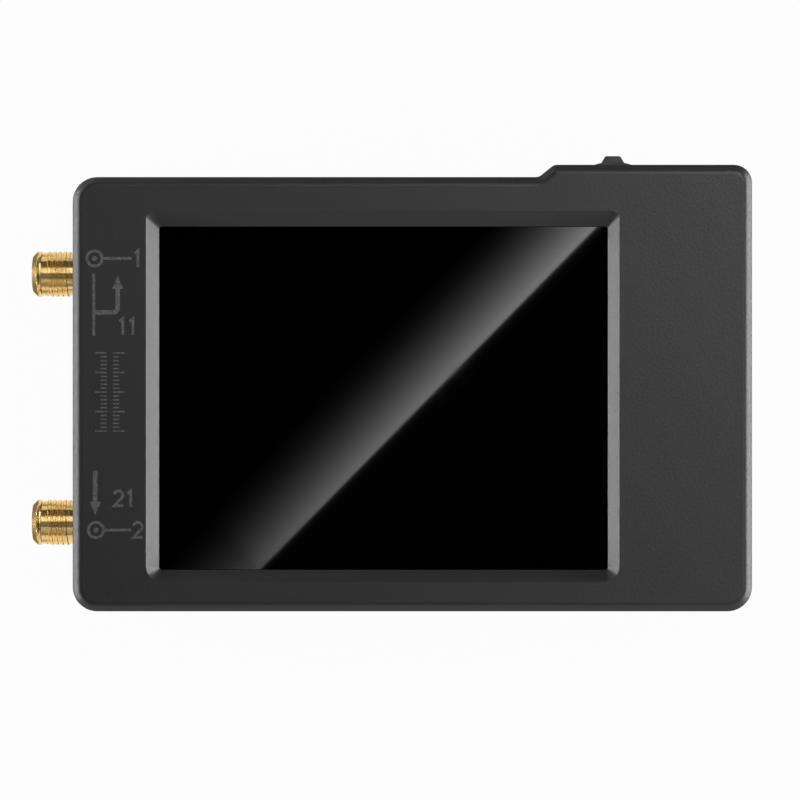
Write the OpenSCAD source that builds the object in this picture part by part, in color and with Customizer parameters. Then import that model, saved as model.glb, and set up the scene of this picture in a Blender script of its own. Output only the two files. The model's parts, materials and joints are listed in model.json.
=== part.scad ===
// Hand-held antenna analyzer: a flat two-part case round a touch display, with two
// coaxial ports on the left edge, a jog lever on the top edge, and a charging socket
// and a slide switch on the right edge. Millimetres.
// The origin is the centre of the back face. +Z points out of the screen, +X is the
// right of someone reading it, and +Y is its top.

/* [Case] */
// Width of the case, without the coaxial ports
body_w = 94; // [93:0.5:110]
// Height of the case at its raised right part
body_h = 61.8; // [61.6:0.1:75]
// Depth of the case from back to front
body_d = 18; // [17.6:0.1:24]
// How much lower the top edge lies left of the ramp
top_step = 1.7; // [0.8:0.1:2.4]
// Length of the raised part of the top edge, from the right side
raised_w = 27.4; // [25:0.1:40]
// Width of the ramp between the two top edges
ramp_w = 2.1; // [1.6:0.1:4]
// Radius at the upper end of the ramp
ramp_r = 1.2; // [1.1:0.1:3]
// Radius in the hollow at the foot of the ramp
foot_r = 1.2; // [1:0.1:2.4]
// Radius of the case's corners, except the top right one
corner_r = 3.4; // [2.8:0.1:5]
// Radius of the top right corner
top_right_r = 2.5; // [2.3:0.1:4]
// Width of the bevel along the front edge
edge_bevel_w = 1.05; // [0.5:0.05:1.4]
// Depth of that bevel
edge_bevel_d = 0.85; // [0.4:0.05:1.2]
// How far the bevel's two edges are softened
edge_soft = 0.15; // [0.05:0.05:0.3]
// Rounding of the back edge
back_fillet = 1.2; // [0.5:0.1:1.5]
// Thickness of the side walls
side_wall = 2; // [1.6:0.1:2.2]
// Thickness of the front wall
front_wall = 2; // [1.6:0.1:2.3]
// Thickness of the back wall
back_wall = 1.8; // [1.2:0.1:2.4]
// Height of the tongue that the back cover pushes into the front cover
tongue_h = 1; // [0.6:0.1:1.4]
// Thickness of that tongue
tongue_t = 0.9; // [0.6:0.1:1.1]
// Clearance round the tongue
tongue_gap = 0.1; // [0.05:0.05:0.2]

/* [Window] */
// From the case's left side to the window's opening
window_from_left = 11.9; // [10.8:0.1:16]
// From the case's right side to the window's opening
window_from_right = 19.9; // [17.8:0.1:30]
// From the raised top edge to the window's opening
window_from_top = 8.5; // [7.6:0.1:14]
// From the bottom edge to the window's opening
window_from_bottom = 5.7; // [5.1:0.1:12]
// Width of the bevel on the window's left side
bevel_left = 1.7; // [0.8:0.1:2.5]
// Width of the bevel on the window's right side
bevel_right = 1.5; // [0.8:0.1:2.5]
// Width of the bevel above the window
bevel_top = 2.1; // [0.8:0.1:2.5]
// Width of the bevel below the window
bevel_bottom = 1.6; // [0.8:0.1:2.5]
// Straight land between the bevel and the inner face of the front wall
window_land = 0.4; // [0.2:0.1:0.8]
// Corner radius of the bevel's outer edge at its upper corners
bevel_r = 1.2; // [0.4:0.1:2]
// Corner radius of the bevel's outer edge at its lower corners
bevel_low_r = 2.2; // [0.4:0.1:2.6]
// Corner radius of the opening
window_r = 0.4; // [0.2:0.1:1]

/* [Screws] */
// Distance of a screw from the inner face of the side wall beside it
screw_in_x = 4; // [3.6:0.1:4.6]
// Distance of a screw from the inner face of the top or bottom wall
screw_in_y = 3; // [2.8:0.1:3.6]
// Diameter of a screw's thread
screw_d = 2; // [1.8:0.1:2]
// How deep the seat of a screw's head lies behind the back face
head_seat = 2.2; // [1.9:0.1:3]
// Diameter of a screw's head
head_d = 3.8; // [3.4:0.1:4]
// Height of a screw's head
head_h = 1.3; // [1:0.1:1.6]
// Diameter of the posts and bosses that the screws clamp
post_d = 5.2; // [5:0.1:5.6]
// Outside diameter of a thread insert
insert_d = 3.2; // [3:0.1:3.6]
// Length of a thread insert
insert_len = 3; // [2.8:0.1:4]
// How far a screw reaches into its insert
screw_bite = 2.4; // [1.6:0.1:2.8]

/* [Board] */
// Thickness of the main board
board_t = 1.6; // [1.4:0.1:1.7]
// Gap between the board and the side walls
board_gap = 0.5; // [0.3:0.1:0.8]
// Gap between the board's right edge and the wall
board_gap_right = 1.1; // [0.8:0.1:1.4]
// Diameter of the screw holes in the board
board_hole_d = 2.4; // [2.2:0.1:3]

/* [Display] */
// How far the display reaches past the window at the left, top and bottom
panel_lap = 1.1; // [0.8:0.1:1.2]
// How far the display reaches past the window at the right
panel_lap_right = 6; // [3:0.1:6.4]
// Thickness of the foam gasket between front wall and touch panel
gasket_t = 0.4; // [0.2:0.1:0.6]
// Thickness of the touch panel
touch_t = 1.2; // [0.8:0.1:1.4]
// Thickness of the adhesive under the touch panel
adhesive_t = 0.2; // [0.1:0.1:0.3]
// Width of that adhesive's frame
adhesive_w = 1.2; // [0.8:0.1:2]
// Thickness of the foam pads between the display and the board
pad_t = 2.3; // [2.1:0.1:3]
// Height of the display's metal tray
tray_h = 2.1; // [1.9:0.1:2.2]
// Thickness of the tray's floor
tray_floor = 0.3; // [0.2:0.1:0.4]
// Thickness of the tray's walls
tray_wall = 0.6; // [0.4:0.1:0.8]
// Thickness of the light guide
guide_t = 0.8; // [0.5:0.1:0.9]
// Width of the ribbon cable
ribbon_w = 20; // [12:0.5:24]
// Thickness of the ribbon cable
ribbon_t = 0.2; // [0.1:0.05:0.3]
// How far the lower display glass reaches past the upper one for the ribbon
glass_ledge = 4; // [3:0.5:5]
// Length of the ribbon's end on that ledge
ribbon_grip = 3.5; // [2:0.5:4]
// Straight length of the ribbon before it bends
ribbon_lead = 0.4; // [0.3:0.1:0.6]

/* [Coaxial ports] */
// From the raised top edge to the upper port's axis
port_from_top = 14.9; // [13.4:0.1:20]
// From the bottom edge to the lower port's axis
port_from_bottom = 12.1; // [10.9:0.1:18]
// Outside diameter of the thread
thread_d = 6.35; // [6:0.05:6.6]
// How far a port stands out of the case
port_reach = 6.1; // [5:0.1:9]
// Diameter of the relief between thread and flange
neck_d = 5.6; // [5.2:0.1:5.8]
// Length of that relief
neck_len = 1.8; // [1.7:0.1:2.2]
// Chamfer at the tip
tip_chamfer = 0.7; // [0.2:0.1:0.8]
// Side of the square flange
flange_w = 6.35; // [6:0.05:7]
// Thickness of the flange
flange_t = 1.5; // [1:0.1:2]
// Length of the legs that grip the board
leg_len = 4; // [2:0.1:5]
// Width of the legs
leg_w = 1; // [0.6:0.1:1.2]
// Diameter of the mouth
mouth_d = 4.6; // [4.5:0.05:4.9]
// Depth of the mouth
mouth_depth = 1.95; // [1.5:0.05:2.5]
// Diameter of the insulator
insulator_d = 4.12; // [3.8:0.02:4.3]
// Diameter of the centre contact
contact_d = 1.27; // [1.2:0.01:1.5]
// Diameter of the socket in the centre contact
socket_d = 0.92; // [0.9:0.01:0.98]
// Depth of the socket in the centre contact
socket_depth = 3; // [2:0.1:4]
// Diameter of the contact's tail on the board
tail_d = 0.76; // [0.5:0.02:1]
// Length of the contact's tail
tail_len = 2.6; // [1.5:0.1:3.5]
// Clearance round a port in the case wall
port_gap = 0.25; // [0.15:0.05:0.5]

/* [Charging socket] */
// From the bottom edge to the centre of the socket
usb_from_bottom = 18.9; // [15:0.1:21]
// Width of the socket's shell
usb_w = 8.94; // [8.8:0.02:9.2]
// Height of the socket's shell
usb_h = 3.26; // [3.1:0.02:3.4]
// Length of the socket's shell
usb_len = 7.3; // [6.5:0.1:8]
// Sheet thickness of the shell
usb_sheet = 0.3; // [0.2:0.05:0.4]
// Width of the tongue inside the shell
usb_tongue_w = 6.69; // [6.4:0.01:6.9]
// Thickness of the tongue
usb_tongue_t = 0.7; // [0.6:0.02:0.8]
// How far the shell's face lies behind the case's side
usb_set_back = 0.6; // [0.3:0.1:1]
// How far the tongue's end lies behind the shell's face
usb_tongue_back = 0.8; // [0.6:0.1:1]
// Depth of the moulding at the shell's back
usb_moulding = 2.2; // [1.8:0.1:2.6]
// Clearance round the socket in the case wall
usb_gap = 0.22; // [0.15:0.01:0.4]

/* [Power switch] */
// From the raised top edge to the centre of the switch
switch_from_top = 22.9; // [18:0.1:25.5]
// Length of the switch's housing
switch_len = 8.5; // [8:0.1:9.5]
// Depth of the switch's housing
switch_dep = 3.6; // [3.2:0.1:4]
// Height of the switch's housing
switch_h = 3.4; // [3.2:0.1:3.8]
// Sheet thickness of the housing
switch_sheet = 0.25; // [0.2:0.05:0.3]
// Travel of the slider
switch_travel = 2; // [1.5:0.1:2.4]
// Width of the slider's knob along its travel
knob_w = 1.6; // [1.2:0.1:2]
// Height of the slider's knob
knob_h = 1.6; // [1.2:0.1:1.8]
// How far the knob's tip lies behind the case's side
knob_set_back = 0.4; // [0.2:0.1:0.7]
// Depth of the finger recess round the knob
recess_d = 0.9; // [0.5:0.1:1.1]
// Clearance between the sliding parts of the switches
slide_gap = 0.12; // [0.08:0.02:0.16]

/* [Light pipe] */
// Diameter of the light pipe
light_d = 1.5; // [1:0.1:2]
// Height of its axis over the board
light_up = 1.2; // [1.1:0.1:1.5]

/* [Jog lever] */
// From the case's right side to the centre of the jog switch
jog_from_right = 19; // [16:0.1:20]
// Width of the jog switch
jog_w = 10; // [9:0.1:11]
// Gap between the jog switch and the display
jog_gap = 0.4; // [0.2:0.1:0.8]
// Thickness of its base
jog_base_t = 0.8; // [0.6:0.1:1]
// Thickness of the lever
lever_t = 1.4; // [1.2:0.1:1.6]
// How far the lever's fan stands out of the case
fan_out = 0.7; // [0.3:0.1:1.5]
// Half the angle that the fan spans
fan_half = 28; // [20:1:28]
// Radius of the fan's outer edge
fan_edge_r = 8; // [6:0.5:12]
// How far the lever tilts to each side
tilt = 13; // [8:1:13]
// How far the lever goes in when pressed
push = 0.5; // [0.3:0.05:0.5]
// Height of the nub on the fan
nub_h = 0.8; // [0.6:0.1:1.6]
// Width of the nub at its foot
nub_foot = 3.2; // [2.6:0.1:3.6]
// Width of the nub at its top
nub_top = 2.1; // [1.6:0.1:2.4]
// Thickness of the nub at its top
nub_t = 0.7; // [0.5:0.1:1]
// Radius of the lever's pivot pin
pivot_r = 0.6; // [0.5:0.05:0.7]
// Running clearance of the lever on its pin
pivot_gap = 0.05; // [0.03:0.01:0.08]

/* [Battery] */
// Width of the pouch cell
cell_w = 46; // [36:1:46]
// Height of the pouch cell
cell_l = 40; // [30:1:42]
// Gap between the pouch cell and the board
cell_gap = 1.1; // [0.6:0.1:2]
// Thickness of the tape that holds it
tape_t = 0.3; // [0.2:0.1:0.5]
// Gap between the pouch cell and the right wall
cell_gap_right = 1.5; // [1:0.1:2]
// Width of the protection board on the cell's end
guard_w = 3.4; // [3:0.1:4]
// Length of that board
guard_l = 24; // [16:1:30]
// Thickness of that board
guard_t = 0.8; // [0.6:0.1:1]
// Diameter of the battery leads
lead_d = 0.9; // [0.7:0.1:1]

/* [Board parts] */
// Centre of the processor along X
processor_x = -3; // [-5:0.5:0]
// Centre of the processor along Y
processor_y = 1; // [-2:0.5:2]
// Side of the processor
processor_w = 7; // [6:0.5:8]
// Height of the processor
processor_h = 1.4; // [1:0.1:1.6]
// Distance from the processor to the next row of parts
row_gap = 15; // [14:0.5:16]
// Distance between parts in a row
part_step = 7; // [6:0.5:7.5]
// Height of the small chips
chip_h = 0.9; // [0.7:0.1:1.2]
// Side of the frequency generator and the charger chip
synth_w = 3; // [2.5:0.1:3.5]
// Side of the audio converter
codec_w = 5; // [4:0.1:5.5]
// Width of a mixer
mixer_w = 4; // [3:0.1:4.5]
// Length of a mixer
mixer_l = 5; // [4:0.1:5.5]
// Height of a mixer
mixer_h = 1.2; // [1:0.1:1.4]
// Width of a crystal's can
crystal_w = 3.2; // [2.5:0.1:3.6]
// Length of a crystal's can
crystal_l = 2.5; // [2:0.1:3]
// Height of a crystal's can
crystal_h = 0.8; // [0.6:0.1:1]
// Radius of an inductor's drum
coil_r = 2; // [1.5:0.1:2.4]
// Height of an inductor's drum
coil_h = 1.6; // [1.4:0.1:1.8]
// Thickness of the drum's rims
coil_rim = 0.4; // [0.3:0.1:0.4]
// Side of a capacitor's end
cap_w = 0.8; // [0.6:0.1:1]
// Length of a capacitor
cap_l = 1.6; // [1.2:0.1:2]
// Distance between capacitors in a row
cap_pitch = 2; // [1.6:0.1:2]
// Height of a screening can
shield_h = 3; // [2:0.1:3.4]
// Sheet thickness of a screening can
shield_sheet = 0.25; // [0.2:0.05:0.4]
// Length of a screening can along Y
shield_reach = 20; // [16:0.5:21]
// Distance from the board's left edge to the screening cans
shield_in = 6; // [5.5:0.5:8]
// Diameter of the vent holes in the cans
vent_d = 1.2; // [0.8:0.1:1.6]
// Distance between vent holes
vent_pitch = 3; // [2.5:0.5:4]
// Height of the ribbon's connector
connector_h = 1.6; // [1.2:0.1:1.8]
// Depth of the ribbon's connector
connector_w = 4; // [3:0.1:5]
// How far the ribbon's connector lies in from the display's right edge
connector_in = 3; // [2:0.5:4]
// Width of the battery connector
socket_w = 4.4; // [4:0.1:5]
// Length of the battery connector
socket_l = 6; // [5:0.1:7]
// Height of the battery connector
socket_h = 3.4; // [3:0.1:3.8]

/* [Hidden] */
$fn = 48;

// Overshoot of a cut past the face that it leaves through
over = 0.5;

// The case's outline and levels
half_w = body_w / 2;
half_h = body_h / 2;
low_top = half_h - top_step;
inner_x = half_w - side_wall;
inner_y = half_h - side_wall;
ramp_x = half_w - raised_w;
ramp_turn = atan2(top_step, ramp_w);
corner_steps = 10;
ramp_steps = 4;
fillet_steps = 8;
ceiling = body_d - front_wall;
touch_top = ceiling - gasket_t;
touch_bottom = touch_top - touch_t;
tray_top = touch_bottom - adhesive_t;
tray_bottom = tray_top - tray_h;
board_top = tray_bottom - pad_t;
board_bottom = board_top - board_t;
seam_z = board_top;

// The window and the display behind it
window_left = window_from_left - half_w;
window_right = half_w - window_from_right;
window_low = window_from_bottom - half_h;
window_high = half_h - window_from_top;
panel_left = window_left - panel_lap;
panel_right = window_right + panel_lap_right;
panel_low = window_low - panel_lap;
panel_high = window_high + panel_lap;
fence_gap = 0.3;
fence_t = 1;
fence_h = 2.4;

// The screws, their bosses and the holes for them
screw_x = inner_x - screw_in_x;
screw_low = screw_in_y - inner_y;
screw_high_right = inner_y - screw_in_y;
screw_high_left = low_top - side_wall - screw_in_y;
screw_places = [
    [-screw_x, screw_low], [screw_x, screw_low],
    [screw_x, screw_high_right], [-screw_x, screw_high_left]
];
screw_len = seam_z + screw_bite - head_seat;
screw_gap = 0.15;
head_gap = 0.2;
insert_gap = 0.02;
gusset_t = 1.2;

// The board
port_flange_gap = 0.1;
board_left = -inner_x + port_flange_gap + flange_t;
board_right = inner_x - board_gap_right;
board_low = board_gap - inner_y;
board_high = inner_y - board_gap;
board_high_left = low_top - side_wall - board_gap;
board_step_x = ramp_x + side_wall;

// The ports
port_z = board_top + tail_d / 2;
port_len = half_w + port_reach + board_left;
port_places = [half_h - port_from_top, port_from_bottom - half_h];

// The charging socket
usb_y = usb_from_bottom - half_h;
usb_face = half_w - usb_set_back;
usb_back = usb_face - usb_len;
usb_z = board_top + usb_h / 2;

// The light pipe
switch_y = half_h - switch_from_top;
light_y = (usb_y + usb_w / 2 + switch_y - switch_len / 2) / 2;
light_z = board_top + light_up;
led_len = light_d + 0.1;

// The power switch
switch_face = board_right - 0.2;
switch_back = switch_face - switch_dep;
switch_base_t = 0.7;
knob_z = board_top + switch_h / 2 + 0.1;
slider_len = 3.6;
slider_rest_y = switch_y - switch_travel / 2;
knob_slot_w = knob_w + switch_travel + 2 * slide_gap + 0.1;
knob_slot_h = knob_h + 2 * slide_gap + 0.1;
wall_slot_extra = 0.3;
recess_w = knob_slot_w + 4;
recess_h = knob_slot_h + 2;

// The jog switch
jog_x = half_w - jog_from_right;
jog_front = board_high - 0.1;
jog_back = panel_high + jog_gap;
jog_sheet = 0.25;
jog_end_t = 1.3;
carriage_t = 0.6;
carriage_z = board_top + jog_base_t + slide_gap;
lever_z = carriage_z + carriage_t + slide_gap;
jog_top = lever_z + lever_t + slide_gap;
hub_r = 1.3;
pivot_y = jog_back + jog_sheet + slide_gap + push + hub_r + 0.15;
fan_r = half_h + fan_out - pivot_y;
fan_in = 3.2;
fan_slot_half = (half_h - pivot_y) * tan(fan_half + tilt) + 0.15;
fan_slot_gap = 0.3;
carriage_w = jog_w - 2 * jog_end_t - 2 * slide_gap;
spring_t = 0.12;

// The battery and its connector
cell_right = inner_x - cell_gap_right;
cell_left = cell_right - cell_w;
cell_bottom = back_wall + tape_t;
cell_t = board_bottom - cell_gap - cell_bottom;
socket_gap = 4;
socket_x = cell_left - guard_w - socket_gap;
socket_wall = 0.5;
plug_l = 4.4;
plug_in = 2.4;
plug_w = socket_w - 2 * socket_wall - 0.2;
plug_h = socket_h - 2 * socket_wall - 0.2;
plug_z = board_bottom - socket_h / 2;
lead_gap = 1.5;

case_black = "#2b2c2d";
gold = "#c79a4b";
steel = "#b9bcc0";
board_green = "#123a2a";
chip_black = "#1b1b1d";
white_plastic = "#e6e4dd";
brass = "#b08d45";

// Points along an arc about c, from one angle to another
function arc_points(c, r, from, to, steps) =
    [for (i = [0:steps]) let (a = from + (to - from) * i / steps) c + r * [cos(a), sin(a)]];

// The case's outline, moved inwards by inset, anticlockwise from the lower left corner
function outline(inset = 0) =
    let (
        least = inset + 0.05,
        r = max(corner_r, least),
        right_r = max(top_right_r, least),
        crest_r = max(ramp_r, least),
        reach = tan(ramp_turn / 2)
    )
    concat(
        arc_points([r - half_w, r - half_h], r - inset, 180, 270, corner_steps),
        arc_points([half_w - r, r - half_h], r - inset, 270, 360, corner_steps),
        arc_points(
            [half_w - right_r, half_h - right_r], right_r - inset, 0, 90, corner_steps
        ),
        arc_points(
            [ramp_x + crest_r * reach, half_h - crest_r],
            crest_r - inset, 90, 90 + ramp_turn, ramp_steps
        ),
        arc_points(
            [ramp_x - ramp_w - foot_r * reach, low_top + foot_r],
            foot_r + inset, 270 + ramp_turn, 270, ramp_steps
        ),
        arc_points([r - half_w, low_top - r], r - inset, 90, 180, corner_steps)
    );

// A rounded rectangle, anticlockwise from its lower left corner
function rectangle(x0, x1, y0, y1, r, low_r, steps = 6) =
    let (low = is_undef(low_r) ? r : low_r)
    concat(
        arc_points([x0 + low, y0 + low], low, 180, 270, steps),
        arc_points([x1 - low, y0 + low], low, 270, 360, steps),
        arc_points([x1 - r, y1 - r], r, 0, 90, steps),
        arc_points([x0 + r, y1 - r], r, 90, 180, steps)
    );

// Inset and level of each ring of an edge rounded by fillet, from the bottom face up
function low_edge(z, fillet) =
    [for (i = [0:fillet_steps]) let (a = 90 * i / fillet_steps)
        [fillet * (1 - sin(a)), z + fillet * (1 - cos(a))]];

// The same for a top face
function high_edge(z, fillet) =
    [for (i = [0:fillet_steps]) let (a = 90 * i / fillet_steps)
        [fillet * (1 - cos(a)), z - fillet * (1 - sin(a))]];

// Points of a soft corner between two points, drawn towards the sharp corner
function soft_corner(from, corner, to) =
    [for (i = [0:4]) let (t = i / 4)
        from * (1 - t) * (1 - t) + corner * 2 * t * (1 - t) + to * t * t];

// Inset and level of each ring of a bevelled front edge, from the side wall up
function bevelled_edge(z, w, d, soft) =
    let (along = [w, d] * soft / norm([w, d]))
    concat(
        soft_corner([0, z - d - soft], [0, z - d], [0, z - d] + along),
        soft_corner([w, z] - along, [w, z], [w + soft, z])
    );

// A solid through a stack of outlines, each given as [points, level]
module loft(rings) {
    n = len(rings[0][0]);
    last = len(rings) - 1;
    points = [for (ring = rings, p = ring[0]) [p[0], p[1], ring[1]]];
    sides = [for (j = [0:last - 1], i = [0:n - 1])
        [j * n + i, (j + 1) * n + i, (j + 1) * n + (i + 1) % n, j * n + (i + 1) % n]];
    bottom = [for (i = [0:n - 1]) i];
    top = [for (i = [0:n - 1]) last * n + (n - i) % n];
    polyhedron(points = points, faces = concat([bottom], sides, [top]));
}

// A straight block of the case's outline
module outline_block(inset, z0, z1) {
    translate([0, 0, z0])
        linear_extrude(z1 - z0)
            polygon(outline(inset));
}

// A block between two opposite corners
module block(low, high) {
    translate(low)
        cube(high - low);
}

// A block with rounded upright edges and a rounded top and bottom
module pillow(x0, x1, y0, y1, z0, z1, r, edge) {
    loft([
        for (ring = concat(low_edge(z0, edge), high_edge(z1, edge)))
            [rectangle(
                x0 + ring[0], x1 - ring[0], y0 + ring[0], y1 - ring[0], r - ring[0]
            ), ring[1]]
    ]);
}

// A cylinder along +X that starts at x
module rod_x(x, y, z, d, length) {
    translate([x, y, z])
        rotate([0, 90, 0])
            cylinder(d = d, h = length);
}

// A slot with round ends, w wide along Y and h high, cut along +X from x
module slot_x(x, y, z, w, h, length) {
    translate([x, y, z])
        rotate([90, 0, 90])
            linear_extrude(length)
                stadium(w, h);
}

module stadium(w, h) {
    square([w - h, h], center = true);
    for (side = [-1, 1])
        translate([side * (w - h) / 2, 0])
            circle(d = h);
}

module at_screws() {
    for (place = screw_places)
        translate([place[0], place[1], 0])
            children();
}

// Every opening in the side walls, cut out of both covers
module side_openings() {
    for (y = port_places)
        rod_x(-half_w - over, y, port_z, thread_d + 2 * port_gap, side_wall + 2 * over);
    slot_x(
        inner_x - over, usb_y, usb_z,
        usb_w + 2 * usb_gap, usb_h + 2 * usb_gap, side_wall + 2 * over
    );
    rod_x(inner_x - over, light_y, light_z, light_d, side_wall + 2 * over);
    slot_w = knob_slot_w + wall_slot_extra;
    slot_h = knob_slot_h + wall_slot_extra;
    block(
        [inner_x - over, switch_y - slot_w / 2, knob_z - slot_h / 2],
        [half_w + over, switch_y + slot_w / 2, knob_z + slot_h / 2]
    );
    slot_x(half_w - recess_d, switch_y, knob_z, recess_w, recess_h, recess_d + over);
    block(
        [jog_x - fan_slot_half, inner_y - over, lever_z - fan_slot_gap],
        [jog_x + fan_slot_half, half_h + over, lever_z + lever_t + fan_slot_gap]
    );
}

// The window: a straight land, then a bevel that opens to the front face
module window_opening() {
    opening = rectangle(window_left, window_right, window_low, window_high, window_r);
    rim = rectangle(
        window_left - bevel_left, window_right + bevel_right,
        window_low - bevel_bottom, window_high + bevel_top, bevel_r, bevel_low_r
    );
    loft([
        [opening, ceiling - over], [opening, ceiling + window_land],
        [rim, body_d], [rim, body_d + over]
    ]);
}

// Ribs that hold the display in place, open at the ribbon
module display_fence() {
    gap = fence_gap;
    out = fence_gap + fence_t;
    difference() {
        block(
            [panel_left - out, panel_low - out, ceiling - fence_h],
            [panel_right + out, panel_high + out, ceiling + over]
        );
        block(
            [panel_left - gap, panel_low - gap, ceiling - fence_h - over],
            [panel_right + gap, panel_high + gap, ceiling + 2 * over]
        );
        block(
            [panel_right - over, -ribbon_w / 2 - 1, ceiling - fence_h - over],
            [panel_right + out + over, ribbon_w / 2 + 1, ceiling + 2 * over]
        );
    }
}

// A rib from a screw's boss or post to the side wall beside it
module gussets(z0, z1) {
    for (place = screw_places) {
        side = sign(place[0]);
        reach = screw_in_x + side_wall / 2;
        translate([place[0] + side * reach / 2, place[1], (z0 + z1) / 2])
            cube([reach, gusset_t, z1 - z0], center = true);
    }
}

module front_cover() {
    tongue_top = seam_z + tongue_h + tongue_gap;
    boss_top = ceiling + front_wall / 4;
    color(case_black)
        difference() {
            union() {
                difference() {
                    loft([
                        for (ring = concat(
                            [[0, seam_z]],
                            bevelled_edge(body_d, edge_bevel_w, edge_bevel_d, edge_soft)
                        ))
                            [outline(ring[0]), ring[1]]
                    ]);
                    outline_block(side_wall, seam_z - over, ceiling);
                    outline_block(
                        side_wall - tongue_t - tongue_gap, seam_z - over, tongue_top
                    );
                }
                at_screws()
                    translate([0, 0, seam_z])
                        cylinder(d = post_d, h = boss_top - seam_z);
                gussets(tongue_top + tongue_gap, boss_top);
                display_fence();
            }
            at_screws()
                translate([0, 0, seam_z - over])
                    cylinder(d = insert_d + 2 * insert_gap, h = insert_len + over);
            at_screws()
                translate([0, 0, seam_z])
                    cylinder(d = screw_d + 2 * screw_gap, h = insert_len + 1.5);
            window_opening();
            side_openings();
        }
}

module back_cover() {
    color(case_black)
        difference() {
            union() {
                difference() {
                    loft([
                        for (ring = concat(low_edge(0, back_fillet), [[0, seam_z]]))
                            [outline(ring[0]), ring[1]]
                    ]);
                    outline_block(side_wall, back_wall, seam_z + over);
                }
                difference() {
                    outline_block(side_wall - tongue_t, seam_z - over, seam_z + tongue_h);
                    outline_block(side_wall, seam_z - 2 * over, seam_z + tongue_h + over);
                }
                at_screws()
                    translate([0, 0, back_wall / 2])
                        cylinder(d = post_d, h = board_bottom - back_wall / 2);
                gussets(back_wall / 2, board_bottom - 1);
                battery_fence();
            }
            at_screws()
                translate([0, 0, -over])
                    cylinder(d = screw_d + 2 * screw_gap, h = board_bottom + 2 * over);
            at_screws()
                translate([0, 0, -over])
                    cylinder(d = head_d + 2 * head_gap, h = head_seat + over);
            side_openings();
        }
}

// Low ribs on the back wall along the pouch cell's long sides
module battery_fence() {
    rib_t = 0.8;
    rib_h = 2;
    gap = 0.4;
    for (side = [-1, 1])
        translate([
            (cell_left + cell_right) / 2, side * (cell_l / 2 + gap + rib_t / 2),
            back_wall + rib_h / 2 - over / 2
        ])
            cube([cell_w - 8, rib_t, rib_h + over], center = true);
}

module case_screws() {
    cross_w = 0.5;
    cross_len = 2.2;
    cross_depth = 0.7;
    head_low = head_seat - head_h;
    color(steel)
        at_screws()
            difference() {
                rotate_extrude()
                    polygon([
                        [0, head_low], [head_d / 2 - 0.5, head_low],
                        [head_d / 2, head_low + 0.6], [head_d / 2, head_seat],
                        [screw_d / 2, head_seat], [screw_d / 2, head_seat + screw_len - 0.3],
                        [screw_d / 2 - 0.3, head_seat + screw_len],
                        [0, head_seat + screw_len]
                    ]);
                for (turn = [0, 90])
                    rotate([0, 0, turn])
                        translate([0, 0, head_low + cross_depth / 2 - over / 2])
                            cube([cross_len, cross_w, cross_depth + over], center = true);
            }
}

module thread_inserts() {
    bore_gap = 0.02;
    groove = 0.25;
    color(brass)
        at_screws()
            translate([0, 0, seam_z])
                rotate_extrude()
                    polygon([
                        [screw_d / 2 + bore_gap, 0], [insert_d / 2, 0],
                        [insert_d / 2, insert_len * 0.4],
                        [insert_d / 2 - groove, insert_len * 0.4 + groove],
                        [insert_d / 2 - groove, insert_len * 0.6 - groove],
                        [insert_d / 2, insert_len * 0.6],
                        [insert_d / 2, insert_len], [screw_d / 2 + bore_gap, insert_len]
                    ]);
}

module panel_block(z0, z1, inset = 0) {
    block(
        [panel_left + inset, panel_low + inset, z0],
        [panel_right - inset, panel_high - inset, z1]
    );
}

module touch_panel() {
    color("#050506")
        panel_block(touch_bottom, touch_top);
}

module touch_adhesive() {
    color("#cfcac0")
        difference() {
            panel_block(tray_top, touch_bottom);
            panel_block(tray_top - over, touch_bottom + over, adhesive_w);
        }
}

// The cell's two glass layers: the lower one is longer at the ribbon's end
module display_glass() {
    fit = 0.1;
    glass_low = tray_bottom + tray_floor + guide_t;
    glass_mid = (glass_low + tray_top) / 2;
    left = panel_left + tray_wall + fit;
    right = panel_right - tray_wall - fit;
    low = panel_low + tray_wall + fit;
    high = panel_high - tray_wall - fit;
    color("#1d2320") {
        block([left, low, glass_low], [right, high, glass_mid]);
        block([left, low, glass_mid], [right - glass_ledge, high, tray_top]);
    }
}

module light_guide() {
    fit = 0.1;
    color(white_plastic)
        panel_block(tray_bottom + tray_floor, tray_bottom + tray_floor + guide_t, tray_wall + fit);
}

module display_tray() {
    ledge = (tray_top + tray_bottom + tray_floor + guide_t) / 2;
    color(steel)
        difference() {
            panel_block(tray_bottom, tray_top);
            panel_block(tray_bottom + tray_floor, tray_top + over, tray_wall);
            block(
                [panel_right - tray_wall - over, -ribbon_w / 2 - 0.5, ledge - 0.1],
                [panel_right + over, ribbon_w / 2 + 0.5, tray_top + over]
            );
        }
}

module display_gasket() {
    relief = 0.3;
    color("#161616")
        difference() {
            panel_block(touch_top, ceiling);
            block(
                [window_left - relief, window_low - relief, touch_top - over],
                [window_right + relief, window_high + relief, ceiling + over]
            );
        }
}

module display_pads() {
    pad = 7;
    inset = 1.5;
    color("#3a3a3c")
        for (x = [panel_left + inset, panel_right - inset - pad])
            for (y = [panel_low + inset, panel_high - inset - pad])
                block([x, y, board_top], [x + pad, y + pad, tray_bottom]);
}

// The ribbon leaves the lower glass, turns round the tray's end and lies over the board
connector_x = panel_right - connector_in;
ribbon_bottom = board_top + connector_h / 2;

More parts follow.
